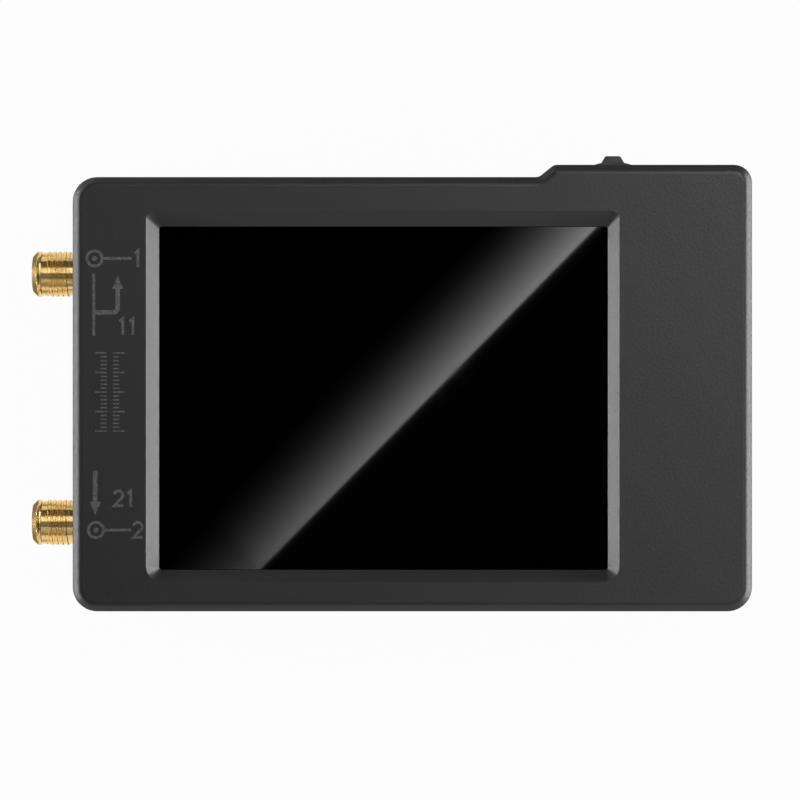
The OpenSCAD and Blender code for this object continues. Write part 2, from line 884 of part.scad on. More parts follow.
module display_ribbon() {
    upper_z = (tray_top + tray_bottom + tray_floor + guide_t) / 2;
    bend_r = (upper_z + ribbon_t - ribbon_bottom) / 2;
    bend_x = panel_right + ribbon_lead;
    grip_x = panel_right - ribbon_grip;
    color("#b5722a")
        translate([0, ribbon_w / 2, 0])
            rotate([90, 0, 0])
                linear_extrude(ribbon_w) {
                    translate([grip_x, upper_z])
                        square([bend_x - grip_x, ribbon_t]);
                    translate([connector_x - connector_w / 2, ribbon_bottom])
                        square([bend_x - connector_x + connector_w / 2, ribbon_t]);
                    translate([bend_x, ribbon_bottom + bend_r])
                        difference() {
                            circle(r = bend_r);
                            circle(r = bend_r - ribbon_t);
                            translate([-2 * bend_r, -bend_r - over])
                                square([2 * bend_r, 2 * bend_r + 2 * over]);
                        }
                }
}

module ribbon_connector() {
    side = 1.2;
    color(white_plastic)
        difference() {
            block(
                [connector_x - connector_w, -ribbon_w / 2 - side, board_top],
                [connector_x, ribbon_w / 2 + side, board_top + connector_h]
            );
            block(
                [connector_x - connector_w / 2, -ribbon_w / 2 - 0.05, ribbon_bottom],
                [connector_x + over, ribbon_w / 2 + 0.05, ribbon_bottom + ribbon_t]
            );
        }
}

module main_board() {
    color(board_green)
        difference() {
            translate([0, 0, board_bottom])
                linear_extrude(board_t)
                    polygon([
                        [board_left, board_low], [board_right, board_low],
                        [board_right, board_high], [board_step_x, board_high],
                        [board_step_x, board_high_left], [board_left, board_high_left]
                    ]);
            at_screws()
                translate([0, 0, board_bottom - over])
                    cylinder(d = board_hole_d, h = board_t + 2 * over);
        }
}

// Screening cans under the board, one behind each port
shield_gap = 1.5;
shield_x0 = board_left + shield_in;
shield_x1 = socket_x - socket_w / 2 - shield_gap;
shield_split = (port_places[0] + port_places[1]) / 2;

module shield(y0, y1) {
    columns = floor((shield_x1 - shield_x0) / vent_pitch) - 1;
    rows = floor((y1 - y0) / vent_pitch) - 1;
    mid_x = (shield_x0 + shield_x1) / 2;
    mid_y = (y0 + y1) / 2;
    color(steel)
        difference() {
            block([shield_x0, y0, board_bottom - shield_h], [shield_x1, y1, board_bottom]);
            block(
                [shield_x0 + shield_sheet, y0 + shield_sheet, board_bottom - shield_h + shield_sheet],
                [shield_x1 - shield_sheet, y1 - shield_sheet, board_bottom + over]
            );
            for (i = [0:columns - 1], j = [0:rows - 1])
                translate([
                    mid_x + (i - (columns - 1) / 2) * vent_pitch,
                    mid_y + (j - (rows - 1) / 2) * vent_pitch,
                    board_bottom - shield_h - over
                ])
                    cylinder(d = vent_d, h = shield_sheet + 2 * over, $fn = 16);
        }
}

module upper_shield() {
    shield(shield_split + shield_gap / 2, shield_split + shield_gap / 2 + shield_reach);
}

module lower_shield() {
    shield(shield_split - shield_gap / 2 - shield_reach, shield_split - shield_gap / 2);
}

// A chip on the board's upper face, or hanging under it, with a dimple at its first pin
module chip(x, y, w, l, h, below = false) {
    z = below ? board_bottom - h : board_top;
    dimple_z = below ? z - over : z + h - 0.1;
    difference() {
        translate([x - w / 2, y - l / 2, z])
            cube([w, l, h]);
        translate([x - w / 2 + 0.8, y + l / 2 - 0.8, dimple_z])
            cylinder(d = 0.6, h = over + 0.1, $fn = 16);
    }
}

module processor() {
    color(chip_black)
        chip(processor_x, processor_y, processor_w, processor_w, processor_h);
}

module processor_pins() {
    pitch = 0.5;
    count = 12;
    pin_w = 0.22;
    pin_len = 1;
    color(steel)
        translate([processor_x, processor_y, board_top])
            for (turn = [0:90:270])
                rotate([0, 0, turn])
                    for (i = [0:count - 1])
                        translate([processor_w / 2, (i - (count - 1) / 2) * pitch - pin_w / 2, 0])
                            cube([pin_len, pin_w, processor_h / 2]);
}

row_x = processor_x - 1.25 * row_gap;

module radio_chips() {
    mid_x = (shield_x0 + shield_x1) / 2;
    color(chip_black) {
        for (y = [shield_reach * 0.3, shield_reach * 0.75, -shield_reach / 2])
            chip(mid_x, shield_split + y, mixer_w, mixer_l, mixer_h, below = true);
        chip(row_x, port_places[0] - part_step / 2, synth_w, synth_w, chip_h);
        chip(row_x, processor_y - row_gap / 2, codec_w, codec_w, chip_h);
    }
}

module crystals() {
    rim = 0.2;
    color(steel)
        for (place = [
            [row_x, processor_y + part_step / 2],
            [processor_x + row_gap / 2, processor_y - row_gap / 2]
        ])
            translate([place[0], place[1], board_top])
                difference() {
                    translate([-crystal_w / 2, -crystal_l / 2, 0])
                        cube([crystal_w, crystal_l, crystal_h]);
                    translate([rim - crystal_w / 2, rim - crystal_l / 2, crystal_h - 0.1])
                        cube([crystal_w - 2 * rim, crystal_l - 2 * rim, over]);
                }
}

module inductors() {
    color("#4a4744")
        for (place = [[row_gap, row_gap * 0.7], [row_gap * 1.4, -row_gap]])
            translate([processor_x + place[0], processor_y + place[1], board_top])
                rotate_extrude()
                    polygon([
                        [0, 0], [coil_r, 0], [coil_r, coil_rim], [coil_r - coil_rim, 1.5 * coil_rim],
                        [coil_r - coil_rim, coil_h - 1.5 * coil_rim], [coil_r, coil_h - coil_rim],
                        [coil_r, coil_h], [0, coil_h]
                    ]);
}

module capacitors() {
    color("#a88d63")
        for (i = [0:5], side = [-1, 1])
            translate([
                processor_x + (i - 2.5) * cap_pitch, processor_y + side * processor_w,
                board_top + cap_w / 2
            ])
                cube([cap_w, cap_l, cap_w], center = true);
}

module charger_chip() {
    color(chip_black)
        chip(processor_x + row_gap * 1.3, board_low + part_step, synth_w, synth_w, chip_h);
}

module status_led() {
    color("#f2efe2")
        block(
            [board_right - 1, light_y - led_len / 2, board_top],
            [board_right - 0.2, light_y + led_len / 2, light_z + light_d / 2 - 0.2]
        );
}

module light_pipe() {
    collar_t = 0.5;
    tip_gap = 0.02;
    color("#e8edf0")
        union() {
            rod_x(inner_x, light_y, light_z, light_d - 2 * tip_gap, side_wall);
            rod_x(inner_x - collar_t, light_y, light_z, light_d + 0.6, collar_t);
        }
}

// Places a coaxial port: its axis leaves the board's edge towards -X
module at_port(y) {
    translate([board_left, y, port_z])
        rotate([0, -90, 0])
            children();
}

module port_body() {
    bore_r = insulator_d / 2;
    thread_r = thread_d / 2;
    neck_r = neck_d / 2;
    neck_end = flange_t + port_flange_gap + neck_len;
    mouth_start = port_len - mouth_depth;
    upper_leg = board_top - port_z;
    lower_leg = board_bottom - port_z;
    color(gold)
        union() {
            rotate_extrude()
                polygon([
                    [bore_r, 0], [neck_r, 0], [neck_r, neck_end],
                    [thread_r, neck_end + thread_r - neck_r],
                    [thread_r, port_len - tip_chamfer],
                    [thread_r - tip_chamfer, port_len], [mouth_d / 2, port_len],
                    [mouth_d / 2, mouth_start], [bore_r, mouth_start]
                ]);
            difference() {
                translate([-flange_w / 2, -flange_w / 2, 0])
                    cube([flange_w, flange_w, flange_t]);
                translate([0, 0, -over])
                    cylinder(r = (bore_r + neck_r) / 2, h = flange_t + 2 * over);
            }
            for (y = [-flange_w / 2, flange_w / 2 - leg_w]) {
                block([upper_leg, y, -leg_len], [upper_leg + 1.2, y + leg_w, over]);
                block([-flange_w / 2, y, -leg_len], [lower_leg, y + leg_w, over]);
            }
        }
}

module port_insulator() {
    seat_gap = 0.02;
    color("#f1efe8")
        difference() {
            cylinder(r = insulator_d / 2 - seat_gap, h = port_len - mouth_depth);
            translate([0, 0, -over])
                cylinder(r = contact_d / 2 + seat_gap, h = port_len + over);
        }
}

module port_contact() {
    face = port_len - mouth_depth;
    color(gold)
        union() {
            rotate_extrude()
                polygon([
                    [0, 0], [contact_d / 2, 0], [contact_d / 2, face], [socket_d / 2, face],
                    [socket_d / 2, face - socket_depth], [0, face - socket_depth - 0.3]
                ]);
            translate([0, 0, -tail_len])
                cylinder(d = tail_d, h = tail_len + over);
        }
}

module upper_port_body() {
    at_port(port_places[0])
        port_body();
}

module upper_port_insulator() {
    at_port(port_places[0])
        port_insulator();
}

module upper_port_contact() {
    at_port(port_places[0])
        port_contact();
}

module lower_port_body() {
    at_port(port_places[1])
        port_body();
}

module lower_port_insulator() {
    at_port(port_places[1])
        port_insulator();
}

module lower_port_contact() {
    at_port(port_places[1])
        port_contact();
}

module usb_shell() {
    tab_out = 1;
    tab_in = usb_h / 3;
    color(steel)
        difference() {
            union() {
                slot_x(usb_back, usb_y, usb_z, usb_w, usb_h, usb_len);
                for (x = [usb_back + 0.6, usb_back + 3])
                    for (side = [-1, 1])
                        translate([
                            x + 0.6, usb_y + side * (usb_w / 2 + (tab_out - tab_in) / 2),
                            board_top + usb_sheet / 2
                        ])
                            cube([1.2, tab_out + tab_in, usb_sheet], center = true);
            }
            slot_x(
                usb_back - over, usb_y, usb_z,
                usb_w - 2 * usb_sheet, usb_h - 2 * usb_sheet, usb_len + 2 * over
            );
        }
}

usb_tongue_end = usb_face - usb_tongue_back;

module usb_insert() {
    fit = 0.02;
    color(chip_black)
        union() {
            slot_x(
                usb_back, usb_y, usb_z,
                usb_w - 2 * usb_sheet - 2 * fit, usb_h - 2 * usb_sheet - 2 * fit,
                usb_moulding
            );
            block(
                [usb_back + over, usb_y - usb_tongue_w / 2, usb_z - usb_tongue_t / 2],
                [usb_tongue_end, usb_y + usb_tongue_w / 2, usb_z + usb_tongue_t / 2]
            );
        }
}

module usb_contacts() {
    count = 12;
    pitch = 0.5;
    pad_w = 0.25;
    pad_t = 0.06;
    color(gold)
        for (i = [0:count - 1])
            for (z = [usb_z + usb_tongue_t / 2, usb_z - usb_tongue_t / 2 - pad_t])
                translate([
                    usb_back + usb_moulding + 0.1,
                    usb_y + (i - (count - 1) / 2) * pitch - pad_w / 2, z
                ])
                    cube([usb_tongue_end - usb_back - usb_moulding - 0.6, pad_w, pad_t]);
}

module power_switch_housing() {
    s = switch_sheet;
    low = switch_y - switch_len / 2;
    high = switch_y + switch_len / 2;
    color(steel)
        difference() {
            block([switch_back, low, board_top], [switch_face, high, board_top + switch_h]);
            block(
                [switch_back + s, low + s, board_top - over],
                [switch_face - s, high - s, board_top + switch_h - s]
            );
            block(
                [switch_face - s - over, switch_y - knob_slot_w / 2, knob_z - knob_slot_h / 2],
                [switch_face + over, switch_y + knob_slot_w / 2, knob_z + knob_slot_h / 2]
            );
        }
}

module power_switch_base() {
    s = switch_sheet + 0.02;
    color("#5b4632")
        block(
            [switch_back + s, switch_y - switch_len / 2 + s, board_top],
            [switch_face - s, switch_y + switch_len / 2 - s, board_top + switch_base_t]
        );
}

module power_switch_terminals() {
    pitch = 2.5;
    width = 0.6;
    reach = 1.4;
    color(steel)
        for (i = [-1:1])
            translate([switch_back - reach, switch_y + i * pitch - width / 2, board_top])
                cube([reach, width, 0.2]);
}

// The slider at the end of its travel nearer the charging socket
module power_switch_slider() {
    low_z = board_top + switch_base_t + slide_gap;
    high_z = board_top + switch_h - switch_sheet - slide_gap;
    knob_start = switch_face - switch_sheet - slide_gap - over;
    knob_len = half_w - knob_set_back - knob_start;
    edge = 0.25;
    color(chip_black)
        union() {
            block(
                [switch_back + switch_sheet + slide_gap, slider_rest_y - slider_len / 2, low_z],
                [switch_face - switch_sheet - slide_gap, slider_rest_y + slider_len / 2, high_z]
            );
            translate([knob_start, slider_rest_y, knob_z])
                rotate([90, 0, 90])
                    loft([
                        for (ring = [[0, 0], [0, knob_len - edge], [edge, knob_len]])
                            [rectangle(
                                ring[0] - knob_w / 2, knob_w / 2 - ring[0],
                                ring[0] - knob_h / 2, knob_h / 2 - ring[0], 0.3 - ring[0]
                            ), ring[1]]
                    ]);
        }
}

module jog_base() {
    fit = 0.02;
    left = jog_x - jog_w / 2 + jog_sheet + fit;
    right = jog_x + jog_w / 2 - jog_sheet - fit;
    back = jog_back + jog_sheet + fit;
    wall_in = jog_end_t - jog_sheet - fit;
    color(chip_black)
        union() {
            block([left, back, board_top], [right, jog_front, board_top + jog_base_t]);
            block([left, back, board_top], [left + wall_in, jog_front, jog_top]);
            block([right - wall_in, back, board_top], [right, jog_front, jog_top]);
        }
}

// A folded sheet cover: roof, back and both ends
module jog_cover() {
    left = jog_x - jog_w / 2;
    right = jog_x + jog_w / 2;
    s = jog_sheet;
    color(steel)
        difference() {
            block([left, jog_back, board_top], [right, jog_front, jog_top + s]);
            block([left + s, jog_back + s, board_top - over], [right - s, jog_front + over, jog_top]);
        }
}

module jog_terminals() {
    pitch = 2;
    width = 0.5;
    reach = 1;
    color(steel)
        for (i = [-2:2])
            translate([jog_x + i * pitch - width / 2, jog_back - reach, board_top])
                cube([width, reach, 0.2]);
}

// The return spring, a leaf that lies pressed against the cover's back
module jog_spring() {
    leaf_w = carriage_w - 1;
    color(steel)
        block(
            [jog_x - leaf_w / 2, jog_back + jog_sheet, carriage_z],
            [jog_x + leaf_w / 2, jog_back + jog_sheet + spring_t, jog_top - slide_gap]
        );
}

// The slide that goes in when the lever is pressed, with the lever's pivot pin on it
module jog_carriage() {
    back = jog_back + jog_sheet + spring_t + push + slide_gap;
    color(white_plastic)
        union() {
            block(
                [jog_x - carriage_w / 2, back, carriage_z],
                [jog_x + carriage_w / 2, jog_front - 0.4, carriage_z + carriage_t]
            );
            translate([jog_x, pivot_y, carriage_z])
                cylinder(r = pivot_r, h = lever_z + lever_t - carriage_z);
        }
}

// The fan that stands out of the case: a sector between the hub and a flatter outer edge
module lever_fan() {
    far = 2 * fan_r;
    intersection() {
        difference() {
            translate([0, fan_r - fan_edge_r])
                circle(r = fan_edge_r);
            circle(r = fan_in);
        }
        polygon([
            [0, 0], [far * sin(fan_half), far * cos(fan_half)], [0, 2 * far],
            [-far * sin(fan_half), far * cos(fan_half)]
        ]);
    }
}

// The nub for the fingertip, narrower and thinner towards its top
module lever_nub() {
    root = fan_r - 0.5;
    foot = fan_r - 0.2;
    crest = fan_r + nub_h;
    edge = 0.15;
    rings = [
        [nub_foot, lever_t, root], [nub_foot, lever_t, foot],
        [nub_top + edge, nub_t + edge, crest - edge], [nub_top - edge, nub_t - edge, crest]
    ];
    translate([0, 0, lever_t / 2])
        rotate([-90, 0, 0])
            loft([
                for (ring = rings)
                    [rectangle(
                        -ring[0] / 2, ring[0] / 2, -ring[1] / 2, ring[1] / 2, edge, edge, 2
                    ), ring[2]]
            ]);
}

module jog_lever() {
    neck_w = 2;
    color(chip_black)
        translate([jog_x, pivot_y, lever_z])
            union() {
                linear_extrude(lever_t)
                    difference() {
                        union() {
                            circle(r = hub_r);
                            translate([-neck_w / 2, 0])
                                square([neck_w, (fan_in + fan_r) / 2]);
                            lever_fan();
                        }
                        circle(r = pivot_r + pivot_gap);
                    }
                lever_nub();
            }
}

module battery_cell() {
    color("#c9ccd0")
        pillow(
            cell_left, cell_right, -cell_l / 2, cell_l / 2,
            cell_bottom, cell_bottom + cell_t, 2.6, cell_t * 0.32
        );
}

module battery_tape() {
    inset = 6;
    color("#e9e3cf")
        block(
            [cell_left + inset, inset - cell_l / 2, back_wall],
            [cell_right - inset, cell_l / 2 - inset, cell_bottom]
        );
}

guard_z = cell_bottom + cell_t / 2 - guard_t / 2;

module battery_board() {
    color("#1e5a34")
        block(
            [cell_left - guard_w, -guard_l / 2, guard_z],
            [cell_left, guard_l / 2, guard_z + guard_t]
        );
}

// A round lead swept through points along straight or gently bent stretches
module tube(points, d, sides = 8) {
    last = len(points) - 1;
    ahead = [for (i = [0:last])
        let (step = points[min(i + 1, last)] - points[max(i - 1, 0)]) step / norm(step)];
    side = [for (t = ahead) let (s = cross(t, [0, 0, 1])) s / norm(s)];
    up = [for (i = [0:last]) cross(side[i], ahead[i])];
    ring = [for (i = [0:last], k = [0:sides - 1])
        let (a = -360 * k / sides) points[i] + d / 2 * (cos(a) * side[i] + sin(a) * up[i])];
    walls = [for (i = [0:last - 1], k = [0:sides - 1]) let (low = i * sides, next = (k + 1) % sides)
        [low + k, low + sides + k, low + sides + next, low + next]];
    start = [for (k = [0:sides - 1]) k];
    end = [for (k = [0:sides - 1]) last * sides + (sides - k) % sides];
    polyhedron(points = ring, faces = concat([start], walls, [end]));
}

// A smooth route through hand-set points
function smooth(points, per = 4) =
    let (last = len(points) - 1)
    concat(
        [for (i = [0:last - 1], k = [0:per - 1])
            let (
                t = k / per,
                p0 = points[max(i - 1, 0)], p1 = points[i],
                p2 = points[i + 1], p3 = points[min(i + 2, last)]
            )
            (p1 * 2 + (p2 - p0) * t + (p0 * 2 - p1 * 5 + p2 * 4 - p3) * t * t
                + (p1 * 3 - p0 - p2 * 3 + p3) * t * t * t) / 2],
        [points[last]]
    );

plug_end = socket_l / 2 - plug_in + plug_l;
solder_gap = 0.04;
guard_top = guard_z + guard_t + lead_d / 2 + solder_gap;

// One lead: out of the plug, round in a bow, and back onto the protection board
module lead(side, bow) {
    x = socket_x + side * lead_gap / 2;
    pad_x = cell_left - guard_w / 2;
    tube(
        concat(
            [[x, plug_end, plug_z]],
            smooth([
                [x, plug_end + 0.8, plug_z], [x, plug_end + 1.6, plug_z],
                [x + 0.6, plug_end + 3.2 + bow, (plug_z + guard_top) / 2],
                [(x + pad_x) / 2 + 0.6, plug_end + 4.4 + bow, guard_top + 0.3],
                [pad_x - 0.3, plug_end + 3.4 + 1.2 * bow, guard_top],
                [pad_x, plug_end + 1 + 1.5 * bow, guard_top]
            ])
        ),
        lead_d
    );
}

module battery_lead_red() {
    color("#b3261e")
        lead(-1, 3);
}

module battery_lead_black() {
    color("#1a1a1a")
        lead(1, 0);
}

module battery_plug() {
    low = socket_l / 2 - plug_in;
    color(white_plastic)
        difference() {
            block(
                [socket_x - plug_w / 2, low, plug_z - plug_h / 2],
                [socket_x + plug_w / 2, plug_end, plug_z + plug_h / 2]
            );
            block(
                [socket_x - plug_w / 2 - over, socket_l / 2 + 0.6, plug_z - plug_h / 2 - over],
                [socket_x + plug_w / 2 + over, socket_l / 2 + 1.2, plug_z - plug_h / 2 + 0.3]
            );
        }
}

module battery_socket() {
    s = socket_wall;
    color("#f3f1ea")
        difference() {
            block(
                [socket_x - socket_w / 2, -socket_l / 2, board_bottom - socket_h],
                [socket_x + socket_w / 2, socket_l / 2, board_bottom]
            );
            block(
                [socket_x - socket_w / 2 + s, socket_l / 2 - plug_in - 0.1, board_bottom - socket_h + s],
                [socket_x + socket_w / 2 - s, socket_l / 2 + over, board_bottom - s]
            );
        }
}

front_cover();
back_cover();
case_screws();
thread_inserts();
touch_panel();
touch_adhesive();
display_glass();
light_guide();
display_tray();
display_gasket();
display_pads();
display_ribbon();
ribbon_connector();
main_board();
upper_shield();
lower_shield();
processor();
processor_pins();
radio_chips();
crystals();
inductors();
capacitors();
charger_chip();
status_led();
light_pipe();
upper_port_body();
upper_port_insulator();
upper_port_contact();
lower_port_body();
lower_port_insulator();
lower_port_contact();
usb_shell();
usb_insert();
usb_contacts();
power_switch_housing();
power_switch_base();
power_switch_terminals();
power_switch_slider();
jog_base();
jog_cover();
jog_terminals();
jog_spring();
jog_carriage();
jog_lever();
battery_cell();
battery_tape();
battery_board();
battery_lead_red();
battery_lead_black();
battery_plug();
battery_socket();
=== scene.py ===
import json
import math

import bmesh
import bpy
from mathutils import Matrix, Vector


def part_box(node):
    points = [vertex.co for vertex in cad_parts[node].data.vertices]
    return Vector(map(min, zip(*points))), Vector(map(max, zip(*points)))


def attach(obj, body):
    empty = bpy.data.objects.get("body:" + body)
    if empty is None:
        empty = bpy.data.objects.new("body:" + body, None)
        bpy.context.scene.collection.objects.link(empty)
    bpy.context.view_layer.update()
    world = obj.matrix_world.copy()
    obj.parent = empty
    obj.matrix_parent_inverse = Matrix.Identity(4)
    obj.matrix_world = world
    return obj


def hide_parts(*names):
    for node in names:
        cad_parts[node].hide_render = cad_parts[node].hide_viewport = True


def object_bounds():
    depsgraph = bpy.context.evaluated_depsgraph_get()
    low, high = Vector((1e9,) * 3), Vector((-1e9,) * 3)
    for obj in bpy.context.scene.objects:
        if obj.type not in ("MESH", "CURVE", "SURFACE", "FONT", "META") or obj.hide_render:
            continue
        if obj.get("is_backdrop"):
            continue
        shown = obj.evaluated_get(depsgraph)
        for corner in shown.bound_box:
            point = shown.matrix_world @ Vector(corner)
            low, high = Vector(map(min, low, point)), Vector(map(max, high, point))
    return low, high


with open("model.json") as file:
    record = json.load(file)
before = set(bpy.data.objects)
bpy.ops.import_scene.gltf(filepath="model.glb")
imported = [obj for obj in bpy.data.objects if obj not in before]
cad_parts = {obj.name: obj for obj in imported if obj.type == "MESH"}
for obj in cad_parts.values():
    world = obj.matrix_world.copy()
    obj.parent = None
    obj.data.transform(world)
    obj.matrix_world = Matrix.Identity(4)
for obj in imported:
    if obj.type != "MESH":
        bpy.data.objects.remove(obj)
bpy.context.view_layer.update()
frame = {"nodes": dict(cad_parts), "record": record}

MM = 0.001
nodes = frame["nodes"]

# Two places closer together than a hair are the same place, and what lies within the slack of a
# face belongs to that face.
hair, slack = 0.002 * MM, 0.01 * MM

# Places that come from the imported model, in metres.
port_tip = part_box("upper_port_body")[0].x
port_axes = {}
for side in ("upper", "lower"):
    low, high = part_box(f"{side}_port_contact")
    port_axes[side] = ((low.y + high.y) / 2, (low.z + high.z) / 2)
front_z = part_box("front_cover")[1].z
glass_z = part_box("touch_panel")[1].z

# The display's viewing area behind the black glass: its middle, and half its width and height.
view_x, view_y = -4.0 * MM, -1.4 * MM
view_half_w, view_half_h = 28.8 * MM, 21.6 * MM

# Printed ink stands on the front face, so the face is let down by this much.
ink_room = 0.02 * MM

# The bevelled front edge of the case, and how wide the front face rolls over into it.
rim_w, rim_d, rim_soft = 1.05 * MM, 0.85 * MM, 0.15 * MM
rim_roll = 0.4 * MM

# The thread of the ports: 36 turns an inch, from the neck to a plain collar at the tip.
thread_pitch = 25.4 / 36 * MM
thread_r = 3.175 * MM
thread_depth = 0.15 * MM
thread_root = thread_r - thread_depth
ridge_crest = thread_pitch * 0.5
ridge_foot = thread_pitch * 0.84
ridge_sunk = 0.06 * MM
barrel_x = port_tip + 5.925 * MM
collar_x = port_tip + 1.25 * MM
collar_step = 0.04 * MM

# The sprung end of the ports' centre contacts.
contact_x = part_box("upper_port_contact")[0].x
contact_r = 0.635 * MM
socket_r = 0.46 * MM
finger_len = 1.5 * MM
finger_overlap = 0.05 * MM
finger_root_x = contact_x + finger_len - finger_overlap
slit_angle = 0.28

# The grip ridges on the power switch's knob.
knob_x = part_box("power_switch_slider")[1].x
knob_end = 0.3 * MM
knob_z = front_z - 6.4 * MM
ridge_count = 4
ridge_h = 0.12 * MM

# The inside of the wall that the lever comes out of: its normal, and how far along that it lies.
lever_wall = Vector((0, -1, 0)), -28.9 * MM


class Bench:
    """Makes and wires the nodes of one tree."""

    def __init__(self, tree):
        self.tree = tree

    def node(self, kind, **settings):
        made = self.tree.nodes.new(kind)
        for name, value in settings.items():
            setattr(made, name, value)
        return made

    def put(self, socket, value):
        if isinstance(value, bpy.types.NodeSocket):
            self.tree.links.new(value, socket)
        else:
            socket.default_value = value

    def sum(self, operation, first, second=0.0, third=None, clamp=False):
        made = self.node("ShaderNodeMath", operation=operation, use_clamp=clamp)
        self.put(made.inputs[0], first)
        self.put(made.inputs[1], second)
        if third is not None:
            self.put(made.inputs[2], third)
        return made.outputs[0]

    def aim(self, operation, first, second=None, scale=None):
        made = self.node("ShaderNodeVectorMath", operation=operation)
        self.put(made.inputs[0], first)
        if second is not None:
            self.put(made.inputs[1], second)
        if scale is not None:
            self.put(made.inputs["Scale"], scale)
        return made.outputs["Value" if operation == "DOT_PRODUCT" else "Vector"]

    def noise(self, place, scale, detail=2.0, rough=0.5):
        made = self.node("ShaderNodeTexNoise")
        self.put(made.inputs["Vector"], place)
        self.put(made.inputs["Scale"], scale)
        self.put(made.inputs["Detail"], detail)
        self.put(made.inputs["Roughness"], rough)
        return made.outputs["Fac"]

    def cells(self, place, scale):
        made = self.node("ShaderNodeTexVoronoi", feature="F1")
        self.put(made.inputs["Vector"], place)
        self.put(made.inputs["Scale"], scale)
        return made.outputs["Distance"]

    def span(self, value, low, high, to_low=0.0, to_high=1.0, smooth=False):
        made = self.node("ShaderNodeMapRange", clamp=True)
        made.interpolation_type = "SMOOTHSTEP" if smooth else "LINEAR"
        self.put(made.inputs["Value"], value)
        self.put(made.inputs["From Min"], low)
        self.put(made.inputs["From Max"], high)
        self.put(made.inputs["To Min"], to_low)
        self.put(made.inputs["To Max"], to_high)
        return made.outputs["Result"]

    def tint(self, share, first, second):
        made = self.node("ShaderNodeMix", data_type="RGBA")
        self.put(made.inputs[0], share)
        self.put(made.inputs[6], first)
        self.put(made.inputs[7], second)
        return made.outputs[2]

    def split(self, vector):
        made = self.node("ShaderNodeSeparateXYZ")
        self.put(made.inputs[0], vector)
        return made.outputs[0], made.outputs[1], made.outputs[2]


def effect(name, takes, gives):
    """A shader node group with named inputs and outputs. Returns it with its bench and its ends."""
    group = bpy.data.node_groups.new(name, "ShaderNodeTree")
    for label, kind, value in takes:
        socket = group.interface.new_socket(label, in_out="INPUT", socket_type=kind)
        if value is not None:
            socket.default_value = value
    for label, kind in gives:
        group.interface.new_socket(label, in_out="OUTPUT", socket_type=kind)
    bench = Bench(group)
    return group, bench, bench.node("NodeGroupInput").outputs, bench.node("NodeGroupOutput").inputs


NUMBER, PLACE, COLOUR = "NodeSocketFloat", "NodeSocketVector", "NodeSocketColor"


def make_moulded_grain():
    """Spark-eroded texture of a moulded shell: a height for the bump and a mask of pale flecks."""
    group, bench, takes, gives = effect(
        "moulded_grain",
        [("Place", PLACE, None), ("Scale", NUMBER, 4200.0)],
        [("Height", NUMBER), ("Fleck", NUMBER)],
    )
    place, scale = takes["Place"], takes["Scale"]
    fine = bench.noise(place, scale, 3.0, 0.62)
    pits = bench.cells(place, bench.sum("MULTIPLY", scale, 0.62))
    height = bench.sum("MULTIPLY_ADD", fine, 0.7, bench.sum("MULTIPLY", pits, 0.45))
    broad = bench.noise(place, bench.sum("MULTIPLY", scale, 0.23), 2.0)
    flecks = bench.sum("MULTIPLY", bench.span(fine, 0.52, 0.74), bench.span(broad, 0.3, 0.7))
    bench.put(gives["Height"], height)
    bench.put(gives["Fleck"], flecks)
    return group


def make_worn_edge():
    """Where hands polish the outer corners of a piece."""
    group, bench, takes, gives = effect(
        "worn_edge",
        [("Place", PLACE, None), ("Radius", NUMBER, 0.0004), ("Scale", NUMBER, 900.0)],
        [("Wear", NUMBER)],
    )
    round_off = bench.node("ShaderNodeBevel", samples=4)
    bench.put(round_off.inputs["Radius"], takes["Radius"])
    true_side = bench.node("ShaderNodeNewGeometry").outputs["Normal"]
    turn = bench.sum("SUBTRACT", 1.0, bench.aim("DOT_PRODUCT", round_off.outputs[0], true_side))
    patches = bench.span(bench.noise(takes["Place"], takes["Scale"], 4.0, 0.6), 0.38, 0.66)
    worn = bench.sum("MULTIPLY", bench.span(turn, 0.01, 0.12), patches, clamp=True)
    bench.put(gives["Wear"], worn)
    return group


def make_settled_dust():
    """Fine dust on faces that look up."""
    group, bench, takes, gives = effect(
        "settled_dust",
        [("Place", PLACE, None), ("Scale", NUMBER, 2600.0), ("Amount", NUMBER, 0.3)],
        [("Dust", NUMBER)],
    )
    up = bench.split(bench.node("ShaderNodeNewGeometry").outputs["Normal"])[2]
    specks = bench.span(bench.cells(takes["Place"], takes["Scale"]), 0.2, 0.06)
    drifts = bench.span(bench.noise(takes["Place"], 160.0, 3.0), 0.4, 0.75)
    laid = bench.sum("MULTIPLY", bench.sum("MULTIPLY", specks, drifts), bench.span(up, 0.5, 1.0))
    bench.put(gives["Dust"], bench.sum("MULTIPLY", laid, takes["Amount"], clamp=True))
    return group


def make_colour_drift():
    """A slow change of tone across a surface, with a little fine mottling."""
    group, bench, takes, gives = effect(
        "colour_drift",
        [("Place", PLACE, None), ("Colour", COLOUR, (0.5, 0.5, 0.5, 1)), ("Scale", NUMBER, 60.0),
         ("Amount", NUMBER, 0.1)],
        [("Colour", COLOUR)],
    )
    slow = bench.noise(takes["Place"], takes["Scale"], 2.0)
    quick = bench.noise(takes["Place"], bench.sum("MULTIPLY", takes["Scale"], 14.0), 3.0, 0.6)
    both = bench.sum("MULTIPLY_ADD", slow, 0.65, bench.sum("MULTIPLY", quick, 0.35))
    swing = bench.span(both, 0.25, 0.75, -1.0, 1.0)
    factor = bench.sum("MULTIPLY_ADD", swing, takes["Amount"], 1.0)
    bench.put(gives["Colour"], bench.aim("SCALE", takes["Colour"], scale=factor))
    return group


